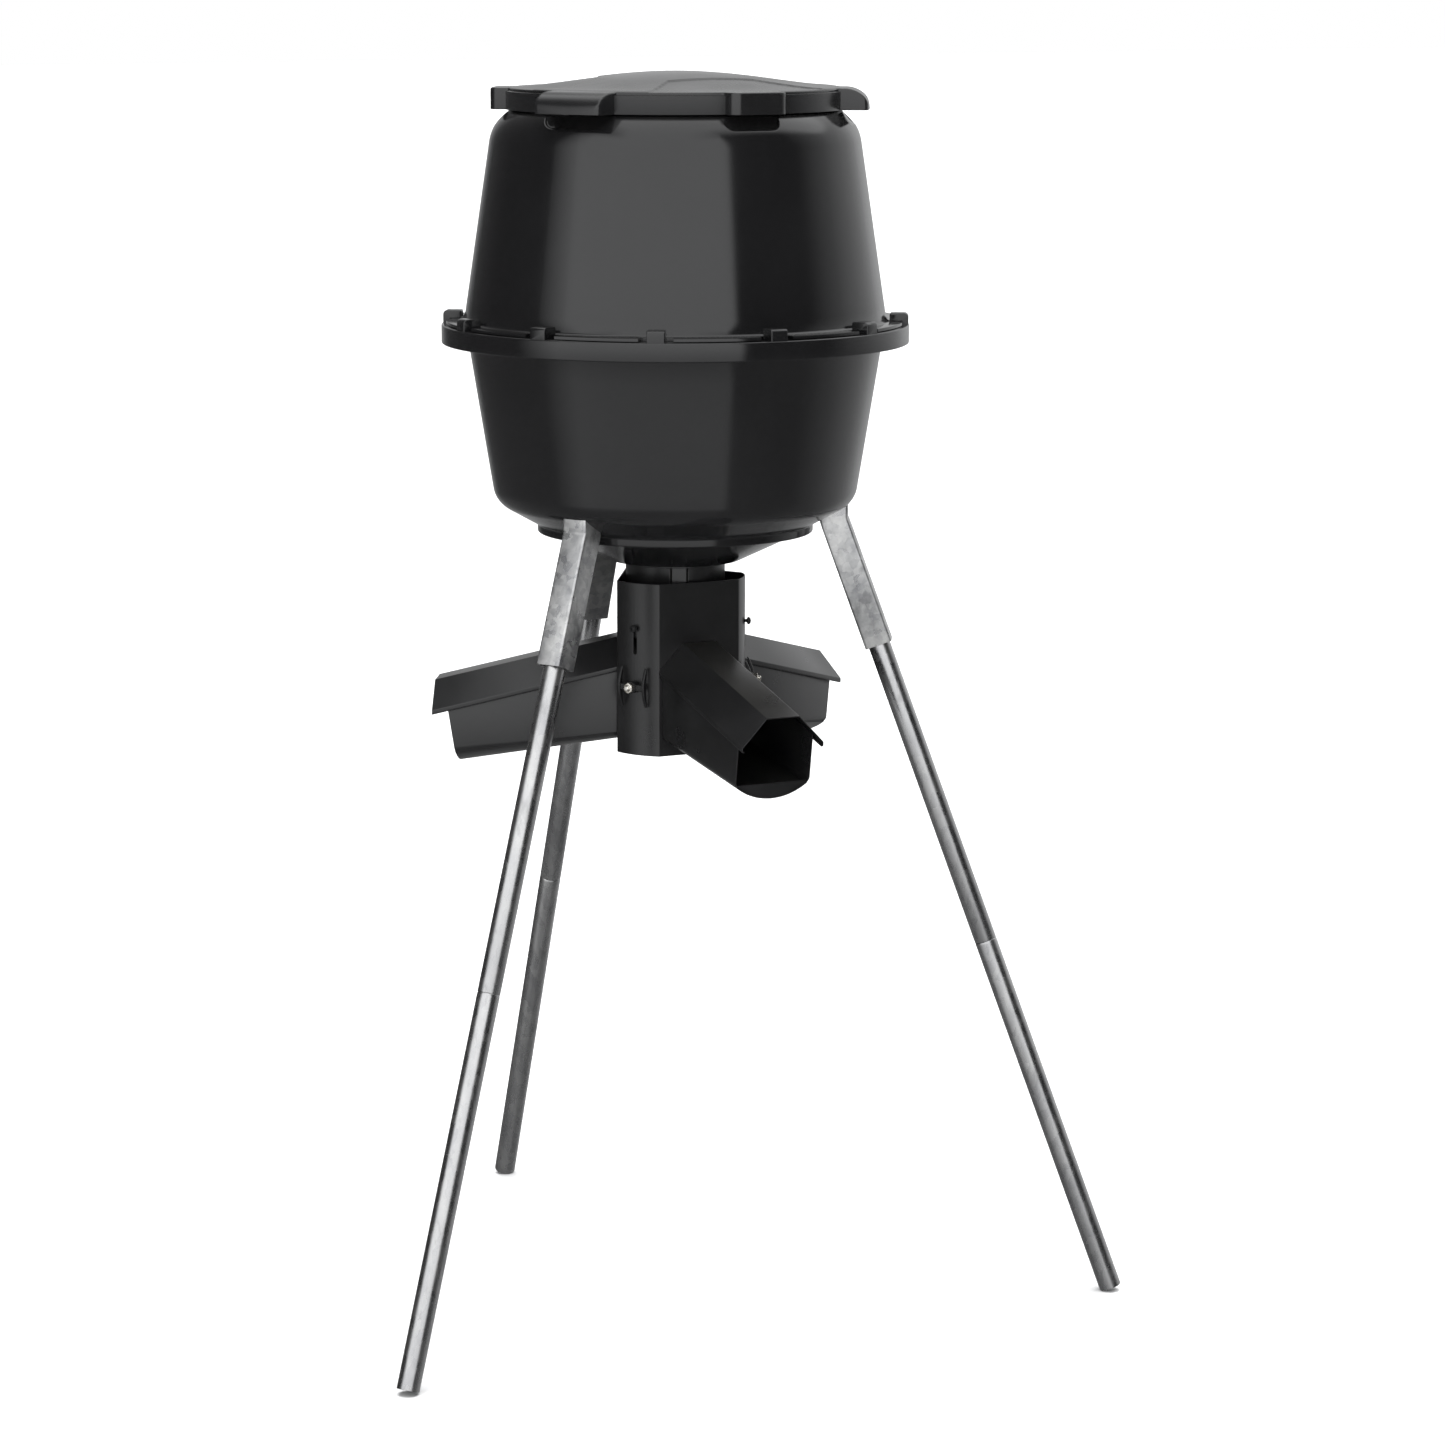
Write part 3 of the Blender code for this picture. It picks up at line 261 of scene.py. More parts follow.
SATIN = (0.0075, 0.0075, 0.0080), (0.0110, 0.0110, 0.0115)
FINISHES = {
    "hopper_plastic": moulded_plastic(
        "moulded_hopper", (0.0060, 0.0060, 0.0064), (0.0085, 0.0085, 0.0089), 0.10, 0.15
    ),
    "collar_plastic": moulded_plastic("moulded_collar", *SATIN, 0.26, 0.36),
    "black_steel": powder_coat("powder_coat", (0.0075, 0.0075, 0.0079), (0.0105, 0.0105, 0.0109)),
    "galvanised_steel": galvanised(
        "spangled_zinc", (0.21, 0.213, 0.225), (0.66, 0.66, 0.65), 0.88, 0.26, 0.38, 1.0, 0.00015
    ),
    "zinc_fastener": bright_zinc("zinc_plating"),
    "black_fastener": black_oxide("black_oxide", 0.36, 0.52),
}
LID_FINISH = moulded_plastic("moulded_lid", *SATIN, 0.20, 0.28, 0.22)
SCREW_FINISH = black_oxide("dull_oxide", 0.62, 0.80)
# A darker copy of the spangled zinc: painted shade for the back bracket, which stands in the hopper's shadow.
SHADED_FINISH = galvanised(
    "zinc_painted_shade", (0.12, 0.12, 0.128), (0.33, 0.33, 0.325), 0.88, 0.34, 0.46, 1.0, 0.00010
)
TUBE_FINISH = galvanised(
    "zinc_tube", (0.34, 0.34, 0.35), (0.54, 0.54, 0.535), 0.98, 0.22, 0.32, 0.45, 0.00003
)

for part in frame["record"]["subparts"]:
    cad = frame["nodes"][part["node"]]
    cad.data.materials.clear()
    cad.data.materials.append(FINISHES[part["material_slot"]])


# ---- modelling ----


def arc(centre, radius, start, end, steps):
    angles = [math.radians(start + (end - start) * i / steps) for i in range(steps + 1)]
    return [(centre[0] + radius * math.cos(a), centre[1] + radius * math.sin(a)) for a in angles]


def rounded(corners, steps=4, closed=True):
    """An outline through (x, y) or (x, y, radius) corners, each rounded by its radius."""
    points = []
    last = len(corners) - 1
    for i, corner in enumerate(corners):
        here = Vector(corner[:2])
        radius = corner[2] if len(corner) > 2 else 0.0
        if radius <= 0.0 or (not closed and i in (0, last)):
            points.append(tuple(here))
            continue
        before = (Vector(corners[i - 1][:2]) - here).normalized()
        after = (Vector(corners[(i + 1) % len(corners)][:2]) - here).normalized()
        half = before.angle(after) / 2
        centre = here + (before + after).normalized() * radius / math.sin(half)
        run = radius / math.tan(half)
        first, second = here + before * run - centre, here + after * run - centre
        start = math.atan2(first.y, first.x)
        turn = math.remainder(math.atan2(second.y, second.x) - start, math.tau)
        for k in range(steps + 1):
            angle = start + turn * k / steps
            points.append((centre.x + radius * math.cos(angle), centre.y + radius * math.sin(angle)))
    return points


def offset_path(path, distance):
    """The path moved to its right by a distance."""
    points = [Vector(p) for p in path]
    moved = []
    for i, here in enumerate(points):
        before = (here - points[i - 1]).normalized() if i else None
        after = (points[i + 1] - here).normalized() if i < len(points) - 1 else None
        before, after = before or after, after or before
        tangent = (before + after).normalized()
        scale = 1.0 / max(0.3, tangent.dot(after))
        moved.append((here.x + tangent.y * distance * scale, here.y - tangent.x * distance * scale))
    return moved


WELD = 1e-6  # distance within which vertices are joined


def mesh_from(name, vertices, faces):
    mesh = bpy.data.meshes.new(name)
    mesh.from_pydata([tuple(v) for v in vertices], [], faces)
    bm = bmesh.new()
    bm.from_mesh(mesh)
    bmesh.ops.remove_doubles(bm, verts=bm.verts, dist=WELD)
    bmesh.ops.recalc_face_normals(bm, faces=bm.faces)
    bm.to_mesh(mesh)
    bm.free()
    return mesh


def grid_faces(rows, columns, wrap_rows, wrap_columns, start=0):
    faces = []
    for i in range(rows if wrap_rows else rows - 1):
        for j in range(columns if wrap_columns else columns - 1):
            a, b = i * columns + j, i * columns + (j + 1) % columns
            c, d = (i + 1) % rows * columns + (j + 1) % columns, (i + 1) % rows * columns + j
            faces.append((start + a, start + b, start + c, start + d))
    return faces


def grid(name, loops, wrap=False, caps=False):
    """A skin through closed loops of equal length; wrap joins the last loop to the first."""
    columns = len(loops[0])
    vertices = [p for loop in loops for p in loop]
    faces = grid_faces(len(loops), columns, wrap, True)
    if caps:
        faces.append(tuple(range(columns)))
        faces.append(tuple(len(vertices) - 1 - i for i in range(columns)))
    return mesh_from(name, vertices, faces)


def azimuths(sides, extra=()):
    even = [math.tau * i / sides for i in range(sides)]
    fine = sorted({round(a % math.tau, 7) for a in extra})
    near = np.array(fine) if fine else np.array([99.0])
    kept = [a for a in even if np.min(np.abs(near - a)) > 0.3 * math.tau / sides]
    return sorted(kept + fine)


def lathe(name, outline, sides=144, wrap=True):
    """A turned solid about Z from (radius, height) points; wrap closes the outline on itself."""
    turns = azimuths(sides)
    loops = [[(r * math.cos(a), r * math.sin(a), z) for a in turns] for r, z in outline]
    return grid(name, loops, wrap=wrap)


def slab(name, outline, low, high, bevel=0.0, steps=2):
    """A flat outline in XY given a thickness along Z, its edges rounded by the bevel."""
    curve = bpy.data.curves.new(name, "CURVE")
    curve.dimensions = "2D"
    curve.fill_mode = "BOTH"
    curve.extrude = (high - low) / 2 - bevel
    curve.bevel_depth = bevel
    curve.bevel_resolution = steps
    curve.offset = -bevel
    spline = curve.splines.new("POLY")
    spline.points.add(len(outline) - 1)
    for point, (x, y) in zip(spline.points, outline):
        point.co = (x, y, 0.0, 1.0)
    spline.use_cyclic_u = True
    guide = link(name, curve)
    mesh = baked(guide)
    bpy.data.objects.remove(guide)
    mesh.transform(Matrix.Translation((0.0, 0.0, (low + high) / 2)))
    return mesh


def block(low, high):
    bm = bmesh.new()
    bmesh.ops.create_cube(bm, size=1.0)
    size = [b - a for a, b in zip(low, high)]
    bmesh.ops.transform(bm, matrix=Matrix.Diagonal((*size, 1.0)), verts=bm.verts)
    bmesh.ops.translate(bm, verts=bm.verts, vec=[(a + b) / 2 for a, b in zip(low, high)])
    mesh = bpy.data.meshes.new("block")
    bm.to_mesh(mesh)
    bm.free()
    return mesh


def rod(radius, low, high, sides=48):
    outline = [(0.0, low), (radius, low), (radius, high), (0.0, high)]
    return lathe("rod", outline, sides, wrap=False)


def link(name, data):
    obj = bpy.data.objects.new(name, data)
    bpy.context.scene.collection.objects.link(obj)
    return obj


def baked(obj):
    """The object's evaluated mesh, with loose caps welded on."""
    bpy.context.view_layer.update()
    mesh = bpy.data.meshes.new_from_object(obj.evaluated_get(bpy.context.evaluated_depsgraph_get()))
    bm = bmesh.new()
    bm.from_mesh(mesh)
    bmesh.ops.remove_doubles(bm, verts=bm.verts, dist=WELD)
    bm.to_mesh(mesh)
    bm.free()
    return mesh


def moved(mesh, *matrices):
    copy = mesh.copy()
    for matrix in matrices:
        copy.transform(matrix)
    return copy


def copies(mesh, bearings):
    return [moved(mesh, turn(azimuth)) for azimuth in bearings]


def turn(degrees, axis="Z"):
    return Matrix.Rotation(math.radians(degrees), 4, axis)


def shift(x=0.0, y=0.0, z=0.0):
    return Matrix.Translation((x, y, z))


OUTWARD = turn(90.0, "Y")  # turns +Z to +X, so a fastener points away from the axis
UPRIGHT = Matrix(((0, 0, 1, 0), (1, 0, 0, 0), (0, 1, 0, 0), (0, 0, 0, 1)))  # XY outline to YZ, thickness to X


def together(meshes):
    bm = bmesh.new()
    for mesh in meshes:
        bm.from_mesh(mesh)
    joined = bpy.data.meshes.new("together")
    bm.to_mesh(joined)
    bm.free()
    return joined


def modified(mesh, kind, **settings):
    """The mesh with one modifier applied."""
    target = link(kind, mesh)
    modifier = target.modifiers.new(kind, kind)
    for key, value in settings.items():
        setattr(modifier, key, value)
    result = baked(target)
    bpy.data.objects.remove(target)
    return result


def boolean(mesh, others, operation="DIFFERENCE"):
    """Exact boolean with several meshes that don't overlap one another."""
    tool = link("tool", together(others))
    result = modified(mesh, "BOOLEAN", operation=operation, object=tool, solver="EXACT")
    bpy.data.objects.remove(tool)
    return result


def softened(mesh, width, segments=2, angle=40.0):
    limit = {"limit_method": "ANGLE", "angle_limit": math.radians(angle)}
    return modified(mesh, "BEVEL", width=width, segments=segments, **limit)


def piece(name, mesh, slot, body, node, azimuth=0.0, finish=None, sharp=32.0):
    """Places a mesh at an azimuth as the piece that stands for a CAD node."""
    mesh = moved(mesh, turn(azimuth), shift(y=AXIS_Y))
    mesh.name = name
    mesh.materials.clear()
    mesh.materials.append(finish or FINISHES[slot])
    mesh.shade_smooth()
    mesh.set_sharp_from_angle(angle=math.radians(sharp))
    obj = link(name, mesh)
    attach(obj, body)
    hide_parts(node)


# ---- upper barrel ----


ABOVE_ALL = 9.0  # a height that every surface stays below
POCKETS = [(a, GRIP_HALF) for a in LEGS.values()] + [(a, LUG_HALF) for a in CHUTES.values()]


def smallest(a, b, softness):
    """Minimum of two heights with a rounded changeover."""
    h = max(softness - abs(a - b), 0.0) / softness
    return min(a, b) - h * h * softness / 4.0


def pocket_floor(radius, across, half):
    """Height of a scooped shoulder pocket's surface; high where there is no pocket."""
    corner = 0.024 if half > 0.045 else 0.014
    side = abs(across) - (half - corner)
    if side >= corner or radius < POCKET_IN - 0.001:
        return ABOVE_ALL
    scoop = max(1.0 - (radius - POCKET_IN) / 0.016, 0.0) ** 1.4
    flank = 1.0 - math.sqrt(1.0 - (max(side, 0.0) / corner) ** 2)
    return POCKET_FLOOR + 0.0168 * max(scoop, flank)


def upper_barrel():
    notch_in = 0.2915
    half_notch = math.asin(0.022 / 0.3025)  # a notch is 44 mm wide, 302.5 mm from the axis
    pocket_r = 0.236  # where the mesh follows the pockets' flanks
    fine = []
    for i in range(12):
        for side in (-1.0, 1.0):
            for step in (-0.012, -0.0015, 0.0, 0.0015):
                fine.append(math.radians(30.0 * i) + side * (half_notch + step))
    for azimuth, half in POCKETS:
        for side in (-1.0, 1.0):
            for k in range(-16, 8):
                fine.append(math.radians(azimuth) + side * math.asin((half + 0.001 * k) / pocket_r))
    turns = azimuths(180, fine)

    shoulder = [NECK + 0.0012, 0.2222, 0.2240, 0.2255, 0.2265, 0.2270, 0.2275, 0.2280, 0.2288, 0.2298, 0.2310]
    shoulder += [0.2310 + 0.00125 * k for k in range(1, 12)]
    last = math.degrees(math.acos((shoulder[-1] - SHOULDER[0]) / SHOULDER_R))
    neck = [(NECK - WALL + 0.0012, NECK_TOP), (NECK - 0.0018, NECK_TOP), (NECK - 0.0006, NECK_TOP - 0.0006)]
    neck += [(NECK, NECK_TOP - 0.0018), (NECK, 1.660), (NECK, 1.6505), (NECK + 0.0004, 1.6494)]
    wall = arc(SHOULDER, SHOULDER_R, last, math.degrees(UPPER_TAPER), 14)[1:]
    wall += [(upper_wall(z), z) for z in (1.58, 1.54, 1.50, 1.46, 1.42, 1.40, 1.385, FLANGE_TOP + 0.008)]
    root = upper_wall(FLANGE_TOP)
    wall += arc((root + 0.0068, FLANGE_TOP + 0.0055), 0.0058, 188.0, 266.0, 5)
    flange = [(FLANGE_R - 0.0015, FLANGE_TOP), (FLANGE_R - 0.0004, FLANGE_TOP - 0.0004)]
    flange += [(FLANGE_R, FLANGE_TOP - 0.0015), (FLANGE_R, FLANGE_LOW + 0.0008)]
    flange.append((FLANGE_R - 0.0008, FLANGE_LOW))
    under = [(SPIGOT_R, FLANGE_LOW), (SPIGOT_R, SPIGOT_LOW + 0.001), (SPIGOT_R - 0.001, SPIGOT_LOW)]
    under += [(SPIGOT_R - WALL + 0.001, SPIGOT_LOW), (SPIGOT_R - WALL, SPIGOT_LOW + 0.001)]
    under += [(SPIGOT_R - WALL, FLANGE_LOW - 0.006), (upper_wall(FLANGE_TOP) - WALL, FLANGE_TOP + 0.002)]
    under += [(upper_wall(1.600) - WALL, 1.600), (0.2455, 1.611), (0.2425, 1.6185), (0.2405, 1.6262)]
    under += [(0.2385, 1.6265), (NECK - WALL + 0.003, 1.6265), (NECK - WALL, 1.6285)]
    under.append((NECK - WALL, NECK_TOP - 0.0012))

    def pocket_at(radius, angle):
        height = ABOVE_ALL
        for azimuth, half in POCKETS:
            off = math.remainder(angle - math.radians(azimuth), math.tau)
            if abs(off) < 0.4:
                height = min(height, pocket_floor(radius, radius * math.sin(off), half))
        return height

    def ring(radius, height):
        return [(radius * math.cos(a), radius * math.sin(a), height) for a in turns]

    def notched(radius, height):
        loop = []
        for a in turns:
            off = abs(math.remainder(a, math.radians(30.0)))
            reach = radius if off > half_notch + 0.0005 else min(radius, notch_in)
            loop.append((reach * math.cos(a), reach * math.sin(a), height))
        return loop

    loops = [ring(*point) for point in neck]
    for radius in shoulder:
        dome = min(SHOULDER[1] + math.sqrt(SHOULDER_R**2 - (radius - SHOULDER[0]) ** 2), 1.6492)
        heights = [smallest(dome, pocket_at(radius, a), 0.0018) for a in turns]
        loops.append([(radius * math.cos(a), radius * math.sin(a), z) for a, z in zip(turns, heights)])
    loops += [ring(*point) for point in wall]
    loops += [notched(*point) for point in flange]
    loops += [ring(*point) for point in under]
    return grid("upper_barrel_surface", loops, wrap=True)


# ---- lower barrel ----


def lower_outside():
    low = -90.0 + math.degrees(BOTTOM_SLOPE)
    points = arc(CORNER, CORNER_R, -math.degrees(LOWER_TAPER), low, 16)
    end_r, end_z = points[-1]
    slope_end = end_z - (end_r - LEDGE_R) * math.tan(BOTTOM_SLOPE)
    corners = [(end_r - 0.002, end_z - 0.002 * math.tan(BOTTOM_SLOPE)), (LEDGE_R, slope_end, 0.003)]
    corners += [(LEDGE_R, LEDGE_LOW, 0.0022), (FUNNEL_R, LEDGE_LOW - 0.0006, 0.003)]
    corners += [(LIP_R, LIP_LOW, 0.003), (THROAT_R, LIP_LOW, 0.0006), (THROAT_R, LIP_LOW + LIP_T, 0.0006)]
    corners += [(LIP_R, LIP_LOW + LIP_T, 0.003), (FUNNEL_R, LEDGE_LOW + LIP_T, 0.003)]
    corners += [(LEDGE_R - WALL, LEDGE_LOW + LIP_T + 0.001, 0.001), (LEDGE_R - WALL, LEDGE_TOP + WALL, 0.002)]
    return points + rounded(corners, 5, False)


def ring_profile():
    """The ring's section, from the inside of its seat over the top and skirt to the wall below."""
    inner, plate_low = SPIGOT_R + 0.0005, RING_TOP - RING_PLATE
    corners = [(inner, RING_LOW - 0.006), (inner, RING_TOP, 0.0010), (RING_R, RING_TOP, 0.0022)]
    corners += [(RING_R, RING_LOW, 0.0015), (RING_R - WALL, RING_LOW, 0.0010)]
    corners += [(RING_R - WALL, plate_low, 0.0020), (lower_wall(plate_low), plate_low, 0.0020)]
    corners.append((lower_wall(1.30), 1.30))
    return rounded(corners, 4, False)


def lower_barrel():
    outside = lower_outside()
    inside = arc(CORNER, CORNER_R - WALL, -90.0 + math.degrees(BOTTOM_SLOPE), -math.degrees(LOWER_TAPER), 10)
    inside += [(lower_wall(z) - WALL, z) for z in (1.20, 1.26, 1.30)]
    walls = [(lower_wall(z), z) for z in (1.26, 1.22, 1.18, 1.15)]
    shell = lathe("lower_shell", ring_profile() + walls + outside + inside, 192)

    tab_side = rounded([(0.0, -0.004), (0.0253, -0.004), (0.0253, 0.016, 0.0058), (0.0, 0.016, 0.0030)], 5)
    tab = moved(slab("tab", tab_side, -0.012, 0.012, 0.0012), turn(90.0, "X"), shift(0.2935, 0.0, RING_TOP))
    window = block((0.2915, -0.0082, RING_TOP + 0.0062), (0.3105, 0.0082, RING_TOP + 0.0122))
    tab = boolean(tab, [window])
    shell = boolean(shell, copies(tab, range(0, 360, 30)), "UNION")
    reach = BRACKET / 2 + SOCKET_GAP
    near, far = leg_radius(BRACKET_BEND) - reach, leg_radius(BRACKET_BEND) + reach
    skin = [(r - 0.0015, z + 0.0015) for r, z in outside if z < 1.15 and r > 0.17]
    top = [(0.0, 1.20), (lower_wall(1.20) - 0.0015, 1.20)]
    envelope = lathe("envelope", top + skin + [(0.0, skin[-1][1])], 192, False)
    boss = block((near - WALL, -reach - WALL, 1.05), (far + WALL, reach + WALL, BRACKET_TOP + WALL))
    shell = boolean(shell, [boolean(together(copies(boss, LEGS.values())), [envelope], "INTERSECT")], "UNION")
    socket = block((near, -reach, 1.04), (far, reach, BRACKET_TOP + 0.0003))
    hole = moved(rod(HOLE_R, near - 0.02, near + 0.01, 24), OUTWARD, shift(z=BRACKET_BOLT))
    sockets, holes = copies(socket, LEGS.values()), copies(hole, LEGS.values())
    return boolean(shell, [boolean(s, [h], "UNION") for s, h in zip(sockets, holes)])


# ---- lid ----


def lid_crown(rho):
    """The cap's height: nearly level in the middle, flaring out again towards the rim."""
    return LID_EDGE + (LID_APEX - LID_EDGE) * max(1.0 - (rho / LID_R) ** 2, 0.0) ** 1.8


def lid_outline():
    """The lid seen from above: the rim with three grips and three lugs, all corners rounded."""
    lobes = [(azimuth, GRIP_R, GRIP_HALF, 0.0060) for azimuth in LEGS.values()]
    lobes += [(azimuth, LUG_R, LUG_HALF, 0.0125) for azimuth in CHUTES.values()]
    outline = []
    for azimuth, reach, half, corner in sorted(lobes):
        root = 0.0035  # fillet where the lobe meets the rim
        foot = math.sqrt((LID_R + root) ** 2 - (half + root) ** 2)
        outer = rounded([(foot, -half), (reach, -half, corner), (reach, half, corner), (foot, half)], 9, False)
        face = [(reach, half * k / 12) for k in range(-9, 10) if half * abs(k) / 12 < half - corner]
        outer = outer[:11] + face + outer[11:]
        centre = (foot, -half - root)
        low = arc(centre, root, 180.0 + math.degrees(math.atan2(centre[1], centre[0])), 90.0, 5)
        high = [(x, -y) for x, y in reversed(low)]
        bow = [0.0018 * (y / half) ** 2 * min(max((x - foot) / (reach - foot), 0.0), 1.0) for x, y in outer]
        lobe = low[:-1] + [(x - pull, y) for (x, y), pull in zip(outer, bow)] + high[1:]
        outline.append((azimuth, lobe))
    points = []
    for i, (azimuth, lobe) in enumerate(outline):
        a = math.radians(azimuth + LID_TURN)
        turned = [(x * math.cos(a) - y * math.sin(a), x * math.sin(a) + y * math.cos(a)) for x, y in lobe]
        following, next_lobe = outline[(i + 1) % 6]
        b = math.radians(following + LID_TURN)
        x, y = next_lobe[0]
        target = math.atan2(y, x) + b
        here = math.atan2(turned[-1][1], turned[-1][0])
        gap = (target - here) % math.tau
        points += turned
        steps = max(2, int(gap * LID_R / 0.003))
        between = [here + gap * k / steps for k in range(1, steps)]
        points += [(LID_R * math.cos(angle), LID_R * math.sin(angle)) for angle in between]
    return points


def evenly(points, spacing):
    """Adds points along the long edges of a closed outline."""
    result = []
    for i, here in enumerate(points):
        there = points[(i + 1) % len(points)]
        length = math.dist(here, there)
        count = max(1, round(length / spacing))
        for k in range(count):
            t = k / count
            result.append((here[0] + (there[0] - here[0]) * t, here[1] + (there[1] - here[1]) * t))
    return result


def ease(t):
    t = min(max(t, 0.0), 1.0)
    return t * t * (3.0 - 2.0 * t)


def lid():
    edge = np.array(evenly(lid_outline(), 0.0022))
    ahead, behind = np.roll(edge, -1, 0), np.roll(edge, 1, 0)
    along = ahead - behind
    along /= np.linalg.norm(along, axis=1)[:, None]
    inward = np.stack([-along[:, 1], along[:, 0]], 1)
    grip_sides = [math.radians(a + LID_TURN) for a in LEGS.values()]
    panel_sides = [math.radians(a + LID_TURN) for a in CHUTES.values()]

    grip_fall = 0.034  # the stretch over which a grip's top rounds down
    panel_in, panel_half, flare, flare_cosine = 0.105, 0.063, 0.877, 0.752  # the sunk panels

    def seen_from(side, x, y):
        return x * math.cos(side) + y * math.sin(side), abs(-x * math.sin(side) + y * math.cos(side))

    def top(x, y):
        rho = math.hypot(x, y)
        height = lid_crown(rho)
        drop = ease((rho - LID_R + 0.012) / 0.016)
        grip = ABOVE_ALL
        for side in grip_sides:
            out, across = seen_from(side, x, y)
            if out > GRIP_R - grip_fall and across < GRIP_HALF + 0.01:
                fall = math.sqrt(max(1.0 - ((out - GRIP_R + grip_fall) / grip_fall) ** 2, 0.0))
                grip = LID_LOW + 0.002 + (LID_EDGE - 0.0015 - LID_LOW - 0.002) * fall
        for side in panel_sides:
            out, across = seen_from(side, x, y)
            inside = min(out - panel_in, (panel_half + flare * (out - panel_in) - across) * flare_cosine)
            drop = max(drop, ease(inside / 0.0018 + 0.5))
        return min(height - 0.0015 * drop, grip)

    def rounding(depth, radius=0.0025):
        return radius - math.sqrt(radius**2 - (radius - depth) ** 2) if depth < radius else 0.0

    rows = []
    for depth in (0.0, 0.0002, 0.0007, 0.0014, 0.0025):
        rows.append([(x, y, top(x, y) - rounding(depth)) for x, y in edge + inward * depth])
    start = edge + inward * 0.0025
    rho = np.linalg.norm(start, axis=1)[:, None]
    bearing = start / rho
    for k in range(1, 15):
        t = k / 14
        ring = bearing * (rho * (1 - t) + 0.200 * t)
        rows.append([(x, y, top(x, y)) for x, y in ring])
    for radius in list(np.arange(0.1985, 0.094, -0.0018)) + [0.085, 0.07, 0.055, 0.04, 0.025, 0.012]:
        rows.append([(x, y, top(x, y)) for x, y in bearing * radius])
    outside = list(reversed(rows))

    def under(x, y):
        return max(top(x, y) - LOBE_WALL, LID_LOW + 0.0015)

    inner = edge + inward * LOBE_WALL
    skirt = [[(x, y, LID_LOW + 0.0006) for x, y in edge]]
    skirt.append([(x, y, LID_LOW) for x, y in edge + inward * 0.0006])
    skirt.append([(x, y, LID_LOW) for x, y in inner - inward * 0.0006])
    skirt.append([(x, y, LID_LOW + 0.0006) for x, y in inner])
    skirt.append([(x, y, under(x, y)) for x, y in inner])
    inner_rho = np.linalg.norm(inner, axis=1)[:, None]
    inner_bearing = inner / inner_rho
    below = []
    for t in (0.1, 0.25, 0.5, 0.75, 1.0):
        ring = inner_bearing * (inner_rho * (1 - t) + 0.205 * t)
        below.append([(x, y, under(x, y)) for x, y in ring])
    for radius in (0.19, 0.16, 0.13, 0.10, 0.07, 0.04, 0.012):
        below.append([(x, y, lid_crown(radius) - WALL) for x, y in inner_bearing * radius])
    shell = grid("lid_shell", outside + skirt + below, caps=True)
    inner_r, outer_r = LID_R - WALL, 0.2310  # the rim's band, which closes the lobes behind
    band = [(inner_r, LID_LOW, 0.0006), (outer_r, LID_LOW, 0.0006), (outer_r, 1.6755), (inner_r, 1.6770)]
    return boolean(shell, [lathe("lid_skirt", rounded(band, 3), 144)], "UNION")


# ---- collar and feed head ----


def collar():
    seat = LIP_LOW - 0.0003
    flange, under = 0.0725, seat - 0.004
    outside = [(COLLAR_R, COLLAR_TOP, 0.0008), (COLLAR_R, seat, 0.0), (flange, seat, 0.0008)]
    outside += [(flange, under, 0.0008), (COLLAR_R, under, 0.0006), (COLLAR_R, COLLAR_LOW, 0.0010)]
    inside = [(COLLAR_IN, COLLAR_LOW, 0.0010), (COLLAR_IN, COLLAR_TOP, 0.0008)]
    tube = lathe("collar_tube", rounded(outside + inside, 3), 120)
    foot, top = 1.004, seat - 0.0025  # the tongues' ends
    outline = rounded([(-0.0100, foot, 0.002), (0.0100, foot, 0.002), (0.0100, top), (-0.0100, top)], 4)
    rib = moved(slab("rib", outline, 0.0670, 0.0708, 0.0005), UPRIGHT)
    slits = [block((0.0630, low, foot), (0.0700, low + 0.0019, top)) for low in (-0.0120, 0.0101)]
    tongues = (-111.0, 9.0, 129.0)
    tube = boolean(tube, copies(together(slits), tongues))
    ear = softened(block((0.0667, -0.008, SCREW_Z - 0.014), (0.0935, 0.008, SCREW_Z + 0.014)), 0.0015, 3)
    ear = boolean(ear, [moved(rod(0.0028, 0.072, 0.11, 24), OUTWARD, shift(z=SCREW_Z))])
    return boolean(tube, copies(rib, tongues) + copies(ear, LEGS.values()), "UNION")


def head_outline(inset, bend):
    """Three flats and three rounded corners centred on the axis, with a bend where they meet."""
    flat, corner = HEAD_FLAT - inset, HEAD_R - inset
    half = math.sqrt((corner - bend) ** 2 - (flat - bend) ** 2)
    lean = math.degrees(math.atan2(half, flat - bend))  # of the bend's centre from the flat's normal
    points = []
    for azimuth in sorted(CHUTES.values()):
        local = [
            (flat - bend + bend * math.cos(a), half + bend * math.sin(a))
            for a in np.linspace(0.0, math.radians(lean), 6)
        ]
        side = [(x, -y) for x, y in reversed(local)] + local
        a = math.radians(azimuth)
        points += [(x * math.cos(a) - y * math.sin(a), x * math.sin(a) + y * math.cos(a)) for x, y in side]
        first, last = azimuth + lean, azimuth + 120.0 - lean
        points += arc((0.0, 0.0), corner, first, last, 14)[1:-1]
    return points


def keyhole():
    opening = math.degrees(math.asin(SLOT_HALF / KEYHOLE_R))
    ring = arc((0.0, SCREW_Z), KEYHOLE_R, -90.0 + opening, 270.0 - opening, 24)
    return ring + arc((0.0, SLOT_LOW + SLOT_HALF), SLOT_HALF, 180.0, 360.0, 12)


